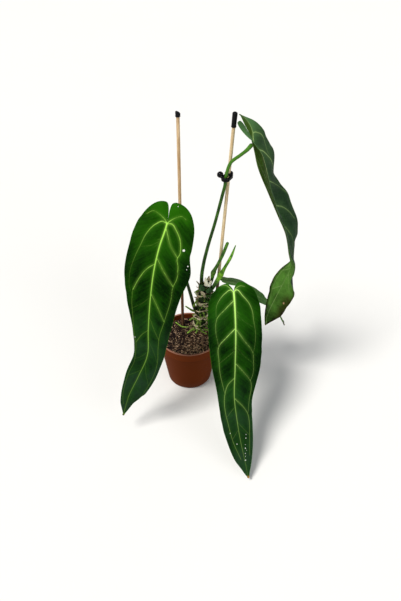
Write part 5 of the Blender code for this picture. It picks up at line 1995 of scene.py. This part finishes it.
class AnthuriumStageSettings(bpy.types.PropertyGroup):
    """The floor, the lights and the lens."""

    floor_size: length_setting("Floor", "Half the floor's width", 12.0)
    floor_tone: colour_setting("Floor tone", "Colour of the floor", (0.8, 0.79, 0.77))
    sky_tone: colour_setting("Sky tone", "Colour of the surroundings", (0.9, 0.93, 0.97))
    sky_strength: FloatProperty(name="Sky", description="Strength of the surroundings", default=0.35,
                                min=0.0)
    key_strength: FloatProperty(name="Key", description="Key light", default=3.2, min=0.0)
    fill_strength: FloatProperty(name="Fill", description="Fill light", default=0.8, min=0.0)
    lens: FloatProperty(name="Lens", description="Focal length in millimetres", default=38.46,
                        min=1.0)


class ANTHURIUM_OT_stage(bpy.types.Operator):
    """Adds the floor, the lights and the camera"""

    bl_idname = "anthurium.stage"
    bl_label = "Add the stage"

    def execute(self, context):
        build_stage(context.scene.anthurium_stage)
        return {"FINISHED"}


class ANTHURIUM_OT_pot(bpy.types.Operator):
    """Adds the nursery pot"""

    bl_idname = "anthurium.pot"
    bl_label = "Add the pot"

    def execute(self, context):
        build_pot(context.scene.anthurium_pot)
        return {"FINISHED"}


class ANTHURIUM_OT_soil(bpy.types.Operator):
    """Adds the soil mix with its chips and fibres"""

    bl_idname = "anthurium.soil"
    bl_label = "Add the soil"

    def execute(self, context):
        build_soil(context.scene.anthurium_soil)
        return {"FINISHED"}


class ANTHURIUM_OT_trunk(bpy.types.Operator):
    """Adds the trunk with its dry skirts and its roots"""

    bl_idname = "anthurium.trunk"
    bl_label = "Add the trunk"

    def execute(self, context):
        build_trunk(context.scene.anthurium_trunk)
        return {"FINISHED"}


class ANTHURIUM_OT_leaves(bpy.types.Operator):
    """Adds the four leaf blades"""

    bl_idname = "anthurium.leaves"
    bl_label = "Add the leaf blades"

    def execute(self, context):
        for leaf in LEAVES:
            build_leaf(leaf, context.scene.anthurium_leaf)
        return {"FINISHED"}


class ANTHURIUM_OT_stalks(bpy.types.Operator):
    """Adds the stalks of the leaves"""

    bl_idname = "anthurium.stalks"
    bl_label = "Add the stalks"

    def execute(self, context):
        for leaf in LEAVES:
            build_stalk(leaf, context.scene.anthurium_stalk)
        return {"FINISHED"}


class ANTHURIUM_OT_shoots(bpy.types.Operator):
    """Adds the two young shoots"""

    bl_idname = "anthurium.shoots"
    bl_label = "Add the shoots"

    def execute(self, context):
        for name in SHOOTS:
            build_shoot(name)
        return {"FINISHED"}


class ANTHURIUM_OT_stakes(bpy.types.Operator):
    """Adds the two wooden stakes and their caps"""

    bl_idname = "anthurium.stakes"
    bl_label = "Add the stakes"

    def execute(self, context):
        for stake in STAKES:
            build_stake(stake)
            build_cap(stake, context.scene.anthurium_stake)
        return {"FINISHED"}


class ANTHURIUM_OT_tie(bpy.types.Operator):
    """Adds the cord tie with its ball"""

    bl_idname = "anthurium.tie"
    bl_label = "Add the tie"

    def execute(self, context):
        build_tie(context.scene.anthurium_stake)
        return {"FINISHED"}


# The steps in order, with the settings that the panel shows under each
STEPS = (
    ("anthurium.stage", "anthurium_stage"),
    ("anthurium.pot", "anthurium_pot"),
    ("anthurium.soil", "anthurium_soil"),
    ("anthurium.trunk", "anthurium_trunk"),
    ("anthurium.leaves", "anthurium_leaf"),
    ("anthurium.stalks", "anthurium_stalk"),
    ("anthurium.shoots", None),
    ("anthurium.stakes", "anthurium_stake"),
    ("anthurium.tie", "anthurium_stake"),
)


class ANTHURIUM_PT_panel(bpy.types.Panel):
    """Lists the steps of the plant and what can be set for each"""

    bl_idname = "ANTHURIUM_PT_panel"
    bl_label = "Queen anthurium"
    bl_space_type = "VIEW_3D"
    bl_region_type = "UI"
    bl_category = "Anthurium"

    def draw(self, context):
        shown = set()
        for operator, group in STEPS:
            box = self.layout.box()
            box.operator(operator)
            if group is None or group in shown:
                continue
            shown.add(group)
            settings = getattr(context.scene, group)
            for name in settings.__annotations__:
                box.prop(settings, name)


GROUPS = {
    "anthurium_leaf": AnthuriumLeafSettings,
    "anthurium_stalk": AnthuriumStalkSettings,
    "anthurium_trunk": AnthuriumTrunkSettings,
    "anthurium_soil": AnthuriumSoilSettings,
    "anthurium_pot": AnthuriumPotSettings,
    "anthurium_stake": AnthuriumStakeSettings,
    "anthurium_stage": AnthuriumStageSettings,
}
CLASSES = (
    *GROUPS.values(),
    ANTHURIUM_OT_stage,
    ANTHURIUM_OT_pot,
    ANTHURIUM_OT_soil,
    ANTHURIUM_OT_trunk,
    ANTHURIUM_OT_leaves,
    ANTHURIUM_OT_stalks,
    ANTHURIUM_OT_shoots,
    ANTHURIUM_OT_stakes,
    ANTHURIUM_OT_tie,
    ANTHURIUM_PT_panel,
)


def register():
    for made in CLASSES:
        bpy.utils.register_class(made)
    for name, group in GROUPS.items():
        setattr(bpy.types.Scene, name, PointerProperty(type=group))


def unregister():
    for name in GROUPS:
        delattr(bpy.types.Scene, name)
    for made in reversed(CLASSES):
        bpy.utils.unregister_class(made)


def main():
    register()
    bpy.ops.anthurium.stage()
    bpy.ops.anthurium.pot()
    bpy.ops.anthurium.soil()
    bpy.ops.anthurium.trunk()
    bpy.ops.anthurium.leaves()
    bpy.ops.anthurium.stalks()
    bpy.ops.anthurium.shoots()
    bpy.ops.anthurium.stakes()
    bpy.ops.anthurium.tie()
    bpy.context.view_layer.update()


if __name__ == "__main__":
    main()
